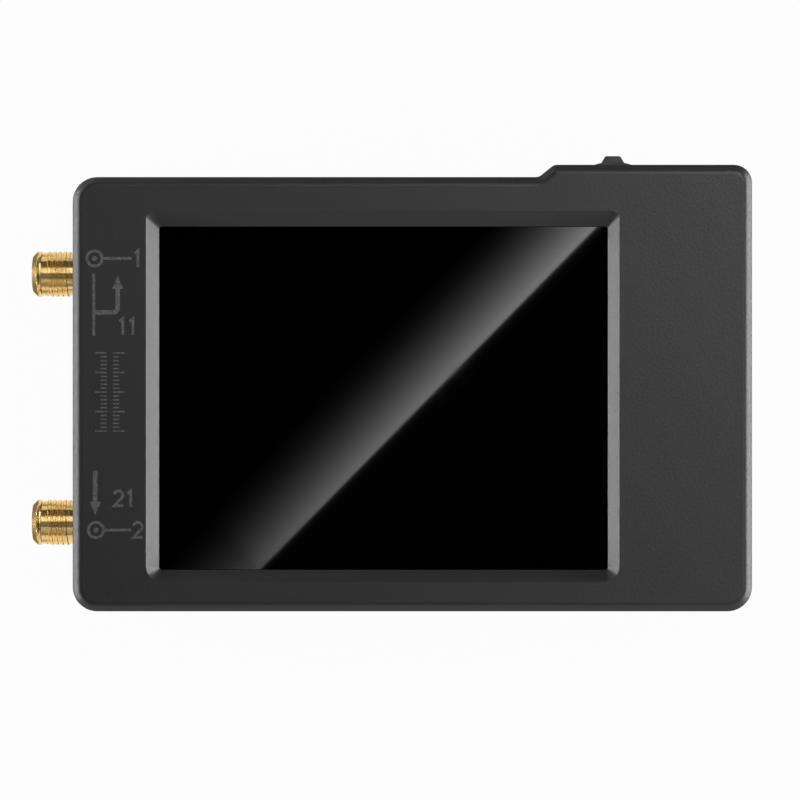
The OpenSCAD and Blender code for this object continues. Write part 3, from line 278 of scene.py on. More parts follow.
def make_drawn_lines():
    """Fine parallel marks of turned, drawn or rolled metal, drawn out along an axis by Stretch."""
    group, bench, takes, gives = effect(
        "drawn_lines",
        [("Place", PLACE, None), ("Stretch", PLACE, (1.0, 0.05, 1.0)), ("Scale", NUMBER, 9000.0)],
        [("Line", NUMBER), ("Tarnish", NUMBER)],
    )
    squeezed = bench.aim("MULTIPLY", takes["Place"], takes["Stretch"])
    bench.put(gives["Line"], bench.noise(squeezed, takes["Scale"], 3.0, 0.6))
    bench.put(gives["Tarnish"], bench.span(bench.noise(takes["Place"], 700.0, 4.0, 0.6), 0.45, 0.8))
    return group


def make_finger_marks():
    """Faint smears left by handling."""
    group, bench, takes, gives = effect(
        "finger_marks",
        [("Place", PLACE, None), ("Scale", NUMBER, 55.0)],
        [("Smear", NUMBER)],
    )
    bend = bench.node("ShaderNodeTexNoise")
    bench.put(bend.inputs["Vector"], takes["Place"])
    bench.put(bend.inputs["Scale"], 56.0)
    bent = bench.aim("ADD", takes["Place"], bench.aim("SCALE", bend.outputs["Color"], scale=0.003))
    broad = bench.noise(bent, takes["Scale"], 3.0, 0.55)
    ridges = bench.noise(bent, bench.sum("MULTIPLY", takes["Scale"], 22.0), 2.0)
    smears = bench.span(broad, 0.5, 0.72, smooth=True)
    bench.put(gives["Smear"], bench.sum("MULTIPLY", smears, bench.span(ridges, 0.3, 0.7)))
    return group


def make_copper_tracks():
    """Tracks and pads that show as paler shapes through a solder mask."""
    group, bench, takes, gives = effect(
        "copper_tracks",
        [("Place", PLACE, None), ("Scale", NUMBER, 320.0)],
        [("Track", NUMBER), ("Via", NUMBER)],
    )
    steps = bench.aim("SNAP", takes["Place"], (0.9 * MM,) * 3)
    jitter = bench.noise(steps, 900.0, 0.0)
    bricks = bench.node("ShaderNodeTexBrick", offset=0.5)
    slide = bench.sum("MULTIPLY", jitter, 1.2 * MM)
    moved = bench.aim("ADD", takes["Place"], bench.aim("SCALE", (1.0, 0.6, 0.0), scale=slide))
    bench.put(bricks.inputs["Vector"], moved)
    bench.put(bricks.inputs["Scale"], takes["Scale"])
    bench.put(bricks.inputs["Mortar Size"], 0.06)
    bench.put(gives["Track"], bricks.outputs["Fac"])
    bench.put(gives["Via"], bench.span(bench.cells(takes["Place"], 420.0), 0.14, 0.1))
    return group


GRAIN, WEAR, DUST = make_moulded_grain(), make_worn_edge(), make_settled_dust()
DRIFT, LINES = make_colour_drift(), make_drawn_lines()
MARKS, TRACKS = make_finger_marks(), make_copper_tracks()


class Finish(Bench):
    """One material around one Principled BSDF."""

    def __init__(self, name, **fixed):
        self.material = bpy.data.materials.new(name)
        self.material.use_nodes = True
        super().__init__(self.material.node_tree)
        self.shader = self.tree.nodes["Principled BSDF"]
        self.place = self.node("ShaderNodeTexCoord").outputs["Object"]
        for label, value in fixed.items():
            self.shader.inputs[label.replace("_", " ")].default_value = value

    def use(self, group, **values):
        made = self.node("ShaderNodeGroup", node_tree=group)
        self.put(made.inputs["Place"], self.place)
        for label, value in values.items():
            self.put(made.inputs[label], value)
        return made.outputs

    def feed(self, label, value):
        self.put(self.shader.inputs[label], value)

    def bump(self, height, depth, strength=1.0):
        """Normal from a height that runs from 0 to 1 over depth metres."""
        made = self.node("ShaderNodeBump")
        self.put(made.inputs["Height"], height)
        self.put(made.inputs["Distance"], depth)
        self.put(made.inputs["Strength"], strength)
        self.feed("Normal", made.outputs["Normal"])


def moulded(name, colour, rough, grain, depth, drift, wear=0.0, dust=0.0, fleck=0.0, **fixed):
    """Moulded plastic, or foam and resin with a coarser grain."""
    finish = Finish(name, **fixed)
    tone = finish.use(DRIFT, Colour=(*colour, 1), Amount=drift)["Colour"]
    grains = finish.use(GRAIN, Scale=grain)
    paler = tuple(min(1.0, c * 2.2 + 0.02) for c in colour)
    roughness = finish.span(grains["Height"], 0.2, 0.9, rough - 0.05, rough + 0.07)
    if fleck:
        tone = finish.tint(finish.sum("MULTIPLY", grains["Fleck"], fleck), tone, (*paler, 1))
    if wear:
        worn = finish.sum("MULTIPLY", finish.use(WEAR)["Wear"], wear)
        tone = finish.tint(worn, tone, (*paler, 1))
        roughness = finish.sum("SUBTRACT", roughness, finish.sum("MULTIPLY", worn, 0.16))
    if dust:
        laid = finish.use(DUST, Amount=dust)["Dust"]
        tone = finish.tint(laid, tone, (0.42, 0.41, 0.39, 1))
        roughness = finish.sum("MULTIPLY_ADD", laid, 0.3, roughness)
    finish.feed("Base Color", tone)
    finish.feed("Roughness", roughness)
    finish.bump(grains["Height"], depth)
    return finish.material


def metal(
    name, colour, rough, stretch, scale=9000.0, tarnish=(0.25, 0.2, 0.15), amount=0.25, **fixed
):
    """Plated, drawn or rolled metal."""
    finish = Finish(name, Metallic=1.0, **fixed)
    lines = finish.use(LINES, Stretch=stretch, Scale=scale)
    tone = finish.use(DRIFT, Colour=(*colour, 1), Scale=240.0, Amount=0.05)["Colour"]
    dull = finish.sum("MULTIPLY", lines["Tarnish"], amount)
    finish.feed("Base Color", finish.tint(dull, tone, (*tarnish, 1)))
    shine = finish.span(lines["Line"], 0.25, 0.75, rough - 0.04, rough + 0.06)
    finish.feed("Roughness", finish.sum("MULTIPLY_ADD", dull, 0.3, shine))
    finish.bump(lines["Line"], 0.004 * MM)
    return finish.material


def black_glass():
    """Touch glass: a black ink border round a slightly bluish viewing area, with faint smears."""
    finish = Finish("black_touch_glass", IOR=1.5, Metallic=0.0)
    x, y, _ = finish.split(finish.place)
    across = finish.sum("ABSOLUTE", finish.sum("SUBTRACT", x, view_x))
    along = finish.sum("ABSOLUTE", finish.sum("SUBTRACT", y, view_y))
    within = finish.sum("LESS_THAN", across, view_half_w)
    inside = finish.sum("MULTIPLY", within, finish.sum("LESS_THAN", along, view_half_h))
    border, display = (0.0008, 0.0008, 0.0009, 1), (0.0012, 0.0013, 0.0017, 1)
    finish.feed("Base Color", finish.tint(inside, border, display))
    smear = finish.use(MARKS)["Smear"]
    finish.feed("Roughness", finish.span(smear, 0.0, 1.0, 0.018, 0.04))
    return finish.material


def clear_plastic(name, tint, rough):
    """Clear plastic with faint smears."""
    finish = Finish(name, IOR=1.49, Metallic=0.0)
    finish.shader.inputs["Transmission Weight"].default_value = 1.0
    finish.feed("Base Color", finish.use(DRIFT, Colour=(*tint, 1), Amount=0.04)["Colour"])
    smear = finish.use(MARKS, Scale=300.0)["Smear"]
    finish.feed("Roughness", finish.span(smear, 0.0, 1.0, rough, rough + 0.1))
    return finish.material


def board_laminate():
    """Green solder mask over glass cloth and copper tracks."""
    finish = Finish("green_board", Metallic=0.0)
    finish.shader.inputs["Coat Weight"].default_value = 0.4
    finish.shader.inputs["Coat Roughness"].default_value = 0.2
    tracks = finish.use(TRACKS)
    base = finish.use(DRIFT, Colour=(0.008, 0.05, 0.03, 1), Amount=0.12)["Colour"]
    raised = finish.tint(tracks["Track"], (0.012, 0.09, 0.05, 1), base)
    finish.feed("Base Color", finish.tint(tracks["Via"], raised, (0.35, 0.27, 0.12, 1)))
    finish.feed("Roughness", finish.span(tracks["Via"], 0.0, 1.0, 0.38, 0.3))
    finish.bump(finish.sum("SUBTRACT", 1.0, tracks["Track"]), 0.03 * MM)
    return finish.material


def ribbon_film():
    """Amber film with its conductors showing as lines along it."""
    finish = Finish("amber_film", Metallic=0.0)
    finish.shader.inputs["Coat Weight"].default_value = 0.5
    finish.shader.inputs["Coat Roughness"].default_value = 0.12
    conductor_pitch = 0.5 * MM
    across = finish.split(finish.place)[1]
    wave = finish.sum("SINE", finish.sum("MULTIPLY", across, 2 * math.pi / conductor_pitch))
    strip = finish.span(wave, -0.1, 0.3)
    base = finish.use(DRIFT, Colour=(0.42, 0.16, 0.03, 1), Amount=0.1)["Colour"]
    finish.feed("Base Color", finish.tint(strip, base, (0.62, 0.3, 0.09, 1)))
    finish.feed("Roughness", finish.span(strip, 0.0, 1.0, 0.3, 0.38))
    finish.bump(strip, 0.01 * MM)
    return finish.material


def pouch_film():
    """Silvery pouch foil, slightly wrinkled."""
    finish = Finish("pouch_foil", Metallic=0.7)
    creases = finish.noise(finish.place, 260.0, 5.0, 0.6)
    finish.feed("Base Color", finish.use(DRIFT, Colour=(0.5, 0.51, 0.52, 1), Amount=0.08)["Colour"])
    finish.feed("Roughness", finish.span(creases, 0.3, 0.7, 0.3, 0.46))
    finish.bump(creases, 0.2 * MM, 0.5)
    return finish.material


def pad_ink():
    """Grey pad-printing ink, thin and broken where it has rubbed."""
    finish = Finish("grey_ink", Metallic=0.0)
    thin = finish.span(finish.noise(finish.place, 2600.0, 4.0, 0.65), 0.32, 0.62)
    finish.feed("Base Color", finish.tint(thin, (0.07, 0.07, 0.073, 1), (0.2, 0.2, 0.206, 1)))
    finish.feed("Roughness", finish.span(thin, 0.0, 1.0, 0.5, 0.6))
    finish.bump(finish.use(GRAIN, Scale=4200.0)["Height"], 0.01 * MM)
    return finish.material


# Moulded finishes: colour, roughness, grain, its depth and the drift of the tone.
# Metals: colour, roughness and how the marks are squeezed along each axis.
FINISHES = {
    "case_plastic": moulded(
        "charcoal_case", (0.026, 0.0258, 0.0262), 0.36, 4600.0, 0.016 * MM, 0.07,
        wear=0.35, dust=0.05, fleck=0.16,
    ),
    "screw_steel": metal("screw_steel", (0.42, 0.42, 0.43), 0.3, (1.0, 1.0, 0.05)),
    "insert_brass": metal("insert_brass", (0.62, 0.44, 0.18), 0.3, (1.0, 1.0, 0.05)),
    "touch_glass": black_glass(),
    "white_foam": moulded("white_foam_tape", (0.62, 0.61, 0.57), 0.75, 1900.0, 0.06 * MM, 0.05),
    "lcd_glass": moulded("grey_green_glass", (0.012, 0.016, 0.014), 0.12, 800.0, 0.001 * MM, 0.05),
    "white_plastic": moulded(
        "natural_nylon", (0.72, 0.71, 0.66), 0.42, 3600.0, 0.01 * MM, 0.04, dust=0.1
    ),
    "sheet_steel": metal("tinned_sheet", (0.6, 0.61, 0.62), 0.28, (0.04, 1.0, 1.0)),
    "black_foam": moulded("black_foam", (0.02, 0.02, 0.021), 0.85, 1700.0, 0.08 * MM, 0.1),
    "ribbon_film": ribbon_film(),
    "board_laminate": board_laminate(),
    "chip_resin": moulded("chip_resin", (0.018, 0.018, 0.019), 0.5, 5200.0, 0.01 * MM, 0.08),
    "tinned_metal": metal("solder_tin", (0.66, 0.66, 0.65), 0.34, (1.0, 1.0, 1.0), 3000.0),
    "ferrite": moulded("ferrite", (0.05, 0.047, 0.044), 0.55, 3800.0, 0.02 * MM, 0.12),
    "ceramic": moulded("ceramic_body", (0.42, 0.31, 0.18), 0.45, 4200.0, 0.008 * MM, 0.1),
    "led_resin": moulded("led_resin", (0.78, 0.74, 0.55), 0.25, 1800.0, 0.004 * MM, 0.05),
    "clear_acrylic": clear_plastic("clear_acrylic", (0.93, 0.95, 0.96), 0.08),
    "gold_plate": metal(
        "gold_plate", (0.92, 0.62, 0.24), 0.17, (0.03, 1.0, 1.0), 7000.0,
        tarnish=(0.45, 0.24, 0.06), amount=0.22,
    ),
    "ptfe": moulded("ptfe", (0.8, 0.79, 0.75), 0.45, 2600.0, 0.008 * MM, 0.03),
    "black_resin": moulded(
        "black_resin", (0.016, 0.016, 0.017), 0.4, 5200.0, 0.012 * MM, 0.08, wear=0.3, dust=0.08
    ),
    "phenolic": moulded("phenolic", (0.1, 0.055, 0.03), 0.5, 3000.0, 0.02 * MM, 0.12),
    "pouch_film": pouch_film(),
    "red_wire": moulded("red_wire", (0.42, 0.02, 0.015), 0.4, 2600.0, 0.01 * MM, 0.05),
    "black_wire": moulded("black_wire", (0.014, 0.014, 0.015), 0.42, 2600.0, 0.01 * MM, 0.05),
}
INK = pad_ink()

# Which finish and which body each node has, from the record.
node_slot = {part["node"]: part["material_slot"] for part in frame["record"]["subparts"]}
node_body = {
    node: body
    for body, members in (frame["record"].get("behaviour", {}).get("bodies") or {}).items()
    for node in members
}


def place_mesh(name, mesh, slot_name, body, stands_for=(), material=None):
    """Puts a finished mesh into the scene at the origin, with its finish and its body."""
    piece = bpy.data.objects.new(name, mesh)
    bpy.context.scene.collection.objects.link(piece)
    mesh.materials.clear()
    mesh.materials.append(material or FINISHES[slot_name])
    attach(piece, body)
    if stands_for:
        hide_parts(*stands_for)
    return piece


def crease(bm):
    """Smooth faces, with the sharp edges kept hard."""
    for face in bm.faces:
        face.smooth = True
    for edge in bm.edges:
        edge.smooth = not edge.is_manifold or edge.calc_face_angle(0.0) < math.radians(30)


def soften(piece, width):
    """Takes the sharpness off the corners, as moulding, plating and stamping do."""
    round_off = piece.modifiers.new("softened corners", "BEVEL")
    round_off.width = width
    round_off.segments = 2
    round_off.limit_method = "ANGLE"
    round_off.angle_limit = math.radians(38)
    round_off.miter_outer = "MITER_ARC"
    even = piece.modifiers.new("even shading", "WEIGHTED_NORMAL")
    even.keep_sharp = True
    return piece


def join_flats(bm, edges):
    """Joins the flat parts that meet at these edges to whole faces."""
    bmesh.ops.dissolve_limit(bm, angle_limit=math.radians(0.4), verts=bm.verts, edges=edges)


def badly_filled(bm):
    """The planes in which a joined face no longer fills its outline, as round a window."""
    filled = {}
    for corners in bm.calc_loop_triangles():
        a, b, c = (corner.vert.co for corner in corners)
        face = corners[0].face
        filled[face] = filled.get(face, 0.0) + (b - a).cross(c - a).length / 2
    return [
        (face.normal.copy(), face.normal.dot(face.verts[0].co))
        for face, area in filled.items() if abs(area - face.calc_area()) > 0.001 * area
    ]


def solid_copy(node, left_alone):
    """A merged copy of a CAD node's mesh, its flat parts joined to whole faces.

    The planes that are left alone, each a normal and its reach, keep the CAD's own triangles."""
    bm = bmesh.new()
    bm.from_mesh(nodes[node].data)
    bmesh.ops.remove_doubles(bm, verts=bm.verts, dist=hair)
    joined = bm.copy()
    join_flats(joined, joined.edges)
    planes = [*left_alone, *badly_filled(joined)]
    if not planes:
        bm.free()
        return joined
    joined.free()

    def in_such_a_plane(face):
        return any(
            face.normal.dot(way) > 0.9999 and abs(way.dot(face.verts[0].co) - reach) < hair
            for way, reach in planes
        )

    join_flats(bm, [
        edge for edge in bm.edges if not all(in_such_a_plane(face) for face in edge.link_faces)
    ])
    return bm


def finished(node, width, change=None, left_alone=()):
    """A CAD node's copy with corners softened over this width, in its place."""
    bm = solid_copy(node, left_alone)
    if change:
        change(bm)
    crease(bm)
    mesh = bpy.data.meshes.new(f"{node}_finished")
    bm.to_mesh(mesh)
    bm.free()
    piece = place_mesh(f"{node}_finished", mesh, node_slot[node], node_body[node], [node])
    return soften(piece, width)


def round_the_rim(bm):
    """Rolls the front face over into its bevelled edge."""
    low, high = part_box("touch_panel")
    room = 2 * MM
    run, deepest = (rim_soft * side / math.hypot(rim_w, rim_d) for side in (rim_w, rim_d))
    for vert in bm.verts:
        drop = max(front_z - vert.co.z, 0.0)
        if drop > deepest + hair:
            continue
        if low.x - room < vert.co.x < high.x + room and low.y - room < vert.co.y < high.y + room:
            continue
        slopes = [face.normal for face in vert.link_faces if 0.3 < face.normal.z < 0.99995]
        if not slopes:
            continue
        outwards = sum(slopes, Vector()).to_2d().normalized()
        t = 1 - min(math.sqrt(drop / deepest), 1.0)
        shift = rim_roll * (2 * t - 1) - rim_soft * t * t + run * (1 - t) ** 2
        vert.co.x -= outwards.x * shift
        vert.co.y -= outwards.y * shift
        vert.co.z = front_z - rim_roll * rim_d / rim_w * (1 - t) ** 2
    bm.normal_update()


def dress_front(bm):
    """Rolls the rim over, and lowers the front face by the room that the ink needs."""
    round_the_rim(bm)
    for vert in bm.verts:
        if vert.co.z > front_z - slack:
            vert.co.z -= ink_room


def turn_down_barrel(bm):
    """Turns a port's barrel down to the root of its thread, up to a plain collar at the tip."""
    for x in (collar_x, collar_x + collar_step):
        bmesh.ops.bisect_plane(
            bm, geom=bm.verts[:] + bm.edges[:] + bm.faces[:], plane_co=(x, 0, 0), plane_no=(1, 0, 0)
        )
    for vert in bm.verts:
        y, z = port_axes["upper" if vert.co.y > 0 else "lower"]
        arm = Vector((vert.co.y - y, vert.co.z - z))
        if collar_x + slack < vert.co.x < barrel_x + slack and arm.length > thread_root:
            vert.co.y, vert.co.z = Vector((y, z)) + arm * thread_root / arm.length


def shorten_contact(bm):
    """Takes the sprung end off a centre contact; its four fingers are a piece of their own."""
    cut = bmesh.ops.bisect_plane(
        bm, geom=bm.verts[:] + bm.edges[:] + bm.faces[:], plane_co=(finger_root_x, 0, 0),
        plane_no=(-1, 0, 0), clear_outer=True,
    )
    rims = [edge for edge in cut["geom_cut"] if isinstance(edge, bmesh.types.BMEdge)]
    bmesh.ops.bridge_loops(bm, edges=rims)


def let_down_knob(bm):
    """Lowers the end of the switch's knob by the height of its grip ridges."""
    for vert in bm.verts:
        if vert.co.x > knob_x - knob_end:
            vert.co.x -= ridge_h


def grown_tree(name, takes):
    """A tree that makes a piece from named inputs. Returns it with its bench and both its ends."""
    tree = bpy.data.node_groups.new(name, "GeometryNodeTree")
    for label, kind, value in (*takes, ("Finish", "NodeSocketMaterial", None)):
        socket = tree.interface.new_socket(label, in_out="INPUT", socket_type=kind)
        if value is not None:
            socket.default_value = value
    tree.interface.new_socket("Piece", in_out="OUTPUT", socket_type="NodeSocketGeometry")
    bench = Bench(tree)
    takes = bench.node("NodeGroupInput").outputs
    whole = bench.node("GeometryNodeRealizeInstances")
    painted = bench.node("GeometryNodeSetMaterial")
    bench.put(painted.inputs["Geometry"], whole.outputs[0])
    bench.put(painted.inputs["Material"], takes["Finish"])
    bench.put(bench.node("NodeGroupOutput").inputs[0], painted.outputs[0])
    return tree, bench, takes, whole.inputs["Geometry"]


def grow(name, tree, slot_name, body, **values):
    """Lets a tree make one finished piece."""
    blank = bpy.data.objects.new(f"{name}_blank", bpy.data.meshes.new(f"{name}_blank"))
    bpy.context.scene.collection.objects.link(blank)
    grower = blank.modifiers.new("grower", "NODES")
    grower.node_group = tree
    labels = {
        item.name: item.identifier for item in tree.interface.items_tree if item.in_out == "INPUT"
    }
    for label, value in {"Finish": FINISHES[slot_name], **values}.items():
        grower[labels[label.replace("_", " ")]] = value
    view = bpy.context.evaluated_depsgraph_get()
    mesh = bpy.data.meshes.new_from_object(blank.evaluated_get(view), depsgraph=view)
    bpy.data.objects.remove(blank)
    bm = bmesh.new()
    bm.from_mesh(mesh)
    crease(bm)
    bm.to_mesh(mesh)
    bm.free()
    return place_mesh(name, mesh, slot_name, body)


def make_thread_tree():
    """An outside thread along -X: a ridge swept round a spiral, fading out at both ends."""
    tree, bench, takes, piece = grown_tree("outside_thread", [
        ("Place", PLACE, None), ("Turns", NUMBER, 6.0), ("Pitch", NUMBER, 0.0007),
        ("Root Radius", NUMBER, 0.003),
    ])
    spiral = bench.node("GeometryNodeCurveSpiral")
    bench.put(spiral.inputs["Resolution"], 64)
    bench.put(spiral.inputs["Rotations"], takes["Turns"])
    bench.put(spiral.inputs["Start Radius"], takes["Root Radius"])
    bench.put(spiral.inputs["End Radius"], takes["Root Radius"])
    bench.put(spiral.inputs["Height"], bench.sum("MULTIPLY", takes["Turns"], takes["Pitch"]))
    bench.put(spiral.inputs["Reverse"], True)
    upright = bench.node("GeometryNodeSetCurveNormal", mode="Z_UP")
    bench.put(upright.inputs["Curve"], spiral.outputs[0])
    # The ridge's section: its first number runs outwards, its second along the axis.
    ridge = bench.node("GeometryNodeCurvePrimitiveQuadrilateral", mode="POINTS")
    corners = ((-ridge_sunk, ridge_foot / 2), (-ridge_sunk, -ridge_foot / 2),
               (thread_depth, -ridge_crest / 2), (thread_depth, ridge_crest / 2))
    for number, (outwards, sideways) in enumerate(corners, 1):
        bench.put(ridge.inputs[f"Point {number}"], (outwards, sideways, 0.0))
    along = bench.node("GeometryNodeSplineParameter").outputs["Factor"]
    to_an_end = bench.sum("MINIMUM", along, bench.sum("SUBTRACT", 1.0, along))
    turns_left = bench.sum("MULTIPLY", to_an_end, takes["Turns"])
    sweep = bench.node("GeometryNodeCurveToMesh")
    bench.put(sweep.inputs["Curve"], upright.outputs[0])
    bench.put(sweep.inputs["Profile Curve"], ridge.outputs[0])
    bench.put(sweep.inputs["Scale"], bench.span(turns_left, 0.0, 0.35, 0.05, 1.0))
    bench.put(sweep.inputs["Fill Caps"], True)
    turned = bench.node("GeometryNodeTransform")
    bench.put(turned.inputs["Geometry"], sweep.outputs[0])
    bench.put(turned.inputs["Rotation"], (0.0, -math.pi / 2, 0.0))
    bench.put(turned.inputs["Translation"], takes["Place"])
    bench.put(piece, turned.outputs[0])
    return tree


def make_finger_tree():
    """The sprung end of a socket contact: four curved fingers along -X with slits between them."""
    tree, bench, takes, piece = grown_tree("sprung_fingers", [
        ("Place", PLACE, None), ("Count", "NodeSocketInt", 4), ("Length", NUMBER, 0.0015),
        ("Inner Radius", NUMBER, 0.0005), ("Outer Radius", NUMBER, 0.0006),
        ("Slit Angle", NUMBER, 0.2),
    ])
    count, inner, outer = takes["Count"], takes["Inner Radius"], takes["Outer Radius"]
    step = bench.sum("DIVIDE", 2 * math.pi, count)
    middle = bench.sum("MULTIPLY", bench.sum("ADD", inner, outer), 0.5)
    arc = bench.node("GeometryNodeCurveArc", mode="RADIUS")
    bench.put(arc.inputs["Resolution"], 12)
    bench.put(arc.inputs["Radius"], middle)
    bench.put(arc.inputs["Sweep Angle"], bench.sum("SUBTRACT", step, takes["Slit Angle"]))
    upright = bench.node("GeometryNodeSetCurveNormal", mode="Z_UP")
    bench.put(upright.inputs["Curve"], arc.outputs[0])
    wall = bench.node("GeometryNodeCurvePrimitiveQuadrilateral", mode="RECTANGLE")
    bench.put(wall.inputs["Width"], bench.sum("SUBTRACT", outer, inner))
    bench.put(wall.inputs["Height"], takes["Length"])
    sweep = bench.node("GeometryNodeCurveToMesh")
    bench.put(sweep.inputs["Curve"], upright.outputs[0])
    bench.put(sweep.inputs["Profile Curve"], wall.outputs[0])
    bench.put(sweep.inputs["Fill Caps"], True)
    posts = bench.node("GeometryNodeMeshLine", mode="OFFSET")
    bench.put(posts.inputs["Count"], count)
    bench.put(posts.inputs["Offset"], (0.0, 0.0, 0.0))
    turn = bench.node("ShaderNodeCombineXYZ")
    number = bench.node("GeometryNodeInputIndex").outputs[0]
    bench.put(turn.inputs["Z"], bench.sum("MULTIPLY", number, step))
    spread = bench.node("GeometryNodeInstanceOnPoints")
    bench.put(spread.inputs["Points"], posts.outputs[0])
    bench.put(spread.inputs["Instance"], sweep.outputs[0])
    bench.put(spread.inputs["Rotation"], turn.outputs[0])
    turned = bench.node("GeometryNodeTransform")
    bench.put(turned.inputs["Geometry"], spread.outputs[0])
    bench.put(turned.inputs["Rotation"], (0.0, -math.pi / 2, 0.0))
    bench.put(turned.inputs["Translation"], takes["Place"])
    bench.put(piece, turned.outputs[0])
    return tree


def make_ridge_tree():
    """A row of grip ridges along Y."""
    tree, bench, takes, piece = grown_tree("grip_ridges", [
        ("Place", PLACE, None), ("Count", "NodeSocketInt", 4), ("Step", NUMBER, 0.0003),
        ("Size", PLACE, (0.001, 0.001, 0.001)),
    ])
    row = bench.node("GeometryNodeMeshLine", mode="OFFSET")
    bench.put(row.inputs["Count"], takes["Count"])
    bench.put(row.inputs["Start Location"], takes["Place"])
    offset = bench.node("ShaderNodeCombineXYZ")
    bench.put(offset.inputs["Y"], takes["Step"])
    bench.put(row.inputs["Offset"], offset.outputs[0])
    bar = bench.node("GeometryNodeMeshCube")
    bench.put(bar.inputs["Size"], takes["Size"])
    spread = bench.node("GeometryNodeInstanceOnPoints")
    bench.put(spread.inputs["Points"], row.outputs[0])
    bench.put(spread.inputs["Instance"], bar.outputs[0])
    bench.put(piece, spread.outputs[0])
    return tree


# The pieces that can be seen from outside, each finished in its CAD node's place.
finished("front_cover", 0.09 * MM, change=dress_front, left_alone=[lever_wall])
finished("back_cover", 0.09 * MM)
finished("touch_panel", 0.08 * MM)
finished("case_screws", 0.05 * MM)
finished("usb_shell", 0.05 * MM)
finished("usb_insert", 0.05 * MM)
finished("light_pipe", 0.06 * MM)
finished("power_switch_slider", 0.07 * MM, change=let_down_knob)
finished("jog_lever", 0.08 * MM)
finished("jog_carriage", 0.05 * MM)

thread_tree, finger_tree, ridge_tree = make_thread_tree(), make_finger_tree(), make_ridge_tree()
thread_turns = (barrel_x - collar_x - 2 * ridge_foot) / thread_pitch
for side, (axis_y, axis_z) in port_axes.items():
    finished(f"{side}_port_body", 0.05 * MM, change=turn_down_barrel)
    finished(f"{side}_port_contact", 0.02 * MM, change=shorten_contact)
    grow(
        f"{side}_port_thread", thread_tree, "gold_plate", "case",
        Place=(barrel_x - ridge_foot, axis_y, axis_z), Turns=thread_turns, Pitch=thread_pitch,
        Root_Radius=thread_root,
    )
    grow(
        f"{side}_port_fingers", finger_tree, "gold_plate", "case",
        Place=(contact_x + finger_len / 2, axis_y, axis_z), Length=finger_len,
        Inner_Radius=socket_r, Outer_Radius=contact_r, Slit_Angle=slit_angle,
    )
knob_low, knob_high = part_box("power_switch_slider")
knob_w = 1.6 * MM
knob_y = (knob_low.y + knob_high.y) / 2
ridge_step = knob_w / (ridge_count + 1)
soften(grow(
    "power_switch_ridges", ridge_tree, "black_resin", node_body["power_switch_slider"],
    Place=(knob_x - ridge_h, knob_y - ridge_step * (ridge_count - 1) / 2, knob_z),
    Count=ridge_count, Step=ridge_step, Size=(2 * ridge_h, ridge_step / 2, knob_w * 0.8),
), 0.02 * MM)


def outward(bm, name, slot_name, body, material):
    """Turns every face outward and puts the piece in its place."""
    bmesh.ops.recalc_face_normals(bm, faces=bm.faces)
    mesh = bpy.data.meshes.new(name)
    bm.to_mesh(mesh)
    bm.free()
    return place_mesh(name, mesh, slot_name, body, material=material)


def patch(bm, corners):
    """A printed area with straight sides, its corners in millimetres on the front face."""
    low = [bm.verts.new((x * MM, y * MM, ink_low)) for x, y in corners]
    top = [bm.verts.new((x * MM, y * MM, ink_top)) for x, y in corners]
    bm.faces.new(low)
    bm.faces.new(top)
    for i in range(len(low)):
        bm.faces.new((low[i - 1], low[i], top[i], top[i - 1]))


def stroke(bm, points, width, closed=False):
    """A printed line through points in millimetres, mitred where it turns."""
    path = [Vector(point) for point in points]
    last = len(path) - 1
    rows = []
    for i, here in enumerate(path):
        ways = []
        if i > 0 or closed:
            ways.append((here - path[i - 1]).normalized())
        if i < last or closed:
            ways.append((path[(i + 1) % len(path)] - here).normalized())
        sides = [Vector((-way.y, way.x)) for way in ways]
        out = sum(sides, Vector((0, 0))).normalized()
        out *= width / 2 / out.dot(sides[0])
        rows.append([bm.verts.new((*((here + out * side) * MM), z)) for side, z in
                     ((1, ink_low), (-1, ink_low), (-1, ink_top), (1, ink_top))])
    joined = list(zip(rows, rows[1:] + rows[:1])) if closed else list(zip(rows, rows[1:]))
    for row, after in joined:
        for i in range(4):
            bm.faces.new((row[i - 1], row[i], after[i], after[i - 1]))
    if not closed:
        bm.faces.new(rows[0])
        bm.faces.new(rows[-1])


def arc(x, y, radius, start, end, steps=12):
    """Points along an arc, its angles in degrees."""
    turns = [math.radians(start + (end - start) * i / steps) for i in range(steps + 1)]
    return [(x + radius * math.cos(turn), y + radius * math.sin(turn)) for turn in turns]


def numeral(bm, value, x, y):
    """A one or a two, standing on y with its middle at x."""
    h = numeral_h
    if value == 1:
        points = [(x - 0.2 * h, y + 0.8 * h), (x, y + 0.96 * h), (x, y)]
    else:
        bow = arc(x, y + 0.7 * h, 0.26 * h, 165, -30)
        points = bow + [(x - 0.24 * h, y + 0.06 * h), (x + 0.3 * h, y + 0.06 * h)]
    stroke(bm, points, ink_line)


def arrow(bm, points):
    """A line that ends in an arrowhead past its last point."""
    line_width, tip_length, half_width = 0.62, 1.8, 0.78
    stroke(bm, points, line_width)
    x, y = points[-1]
    way = math.copysign(1, y - points[-2][1])
    patch(bm, [(x - half_width, y), (x + half_width, y), (x, y + way * tip_length)])


def jack_sign(bm, x, y, value, value_x):
    """A coaxial jack seen from its end, with its lead and its number."""
    ring_r, pin_r, lead_gap = 1.05, 0.36, 0.9
    stroke(bm, arc(x, y, ring_r, 0, 360, 32)[:-1], ink_line, closed=True)
    patch(bm, arc(x, y, pin_r, 0, 360, 16)[:-1])
    stroke(bm, [(x + ring_r + ink_line / 2, y), (value_x - lead_gap, y)], ink_line)
    numeral(bm, value, value_x, y - numeral_h / 2)


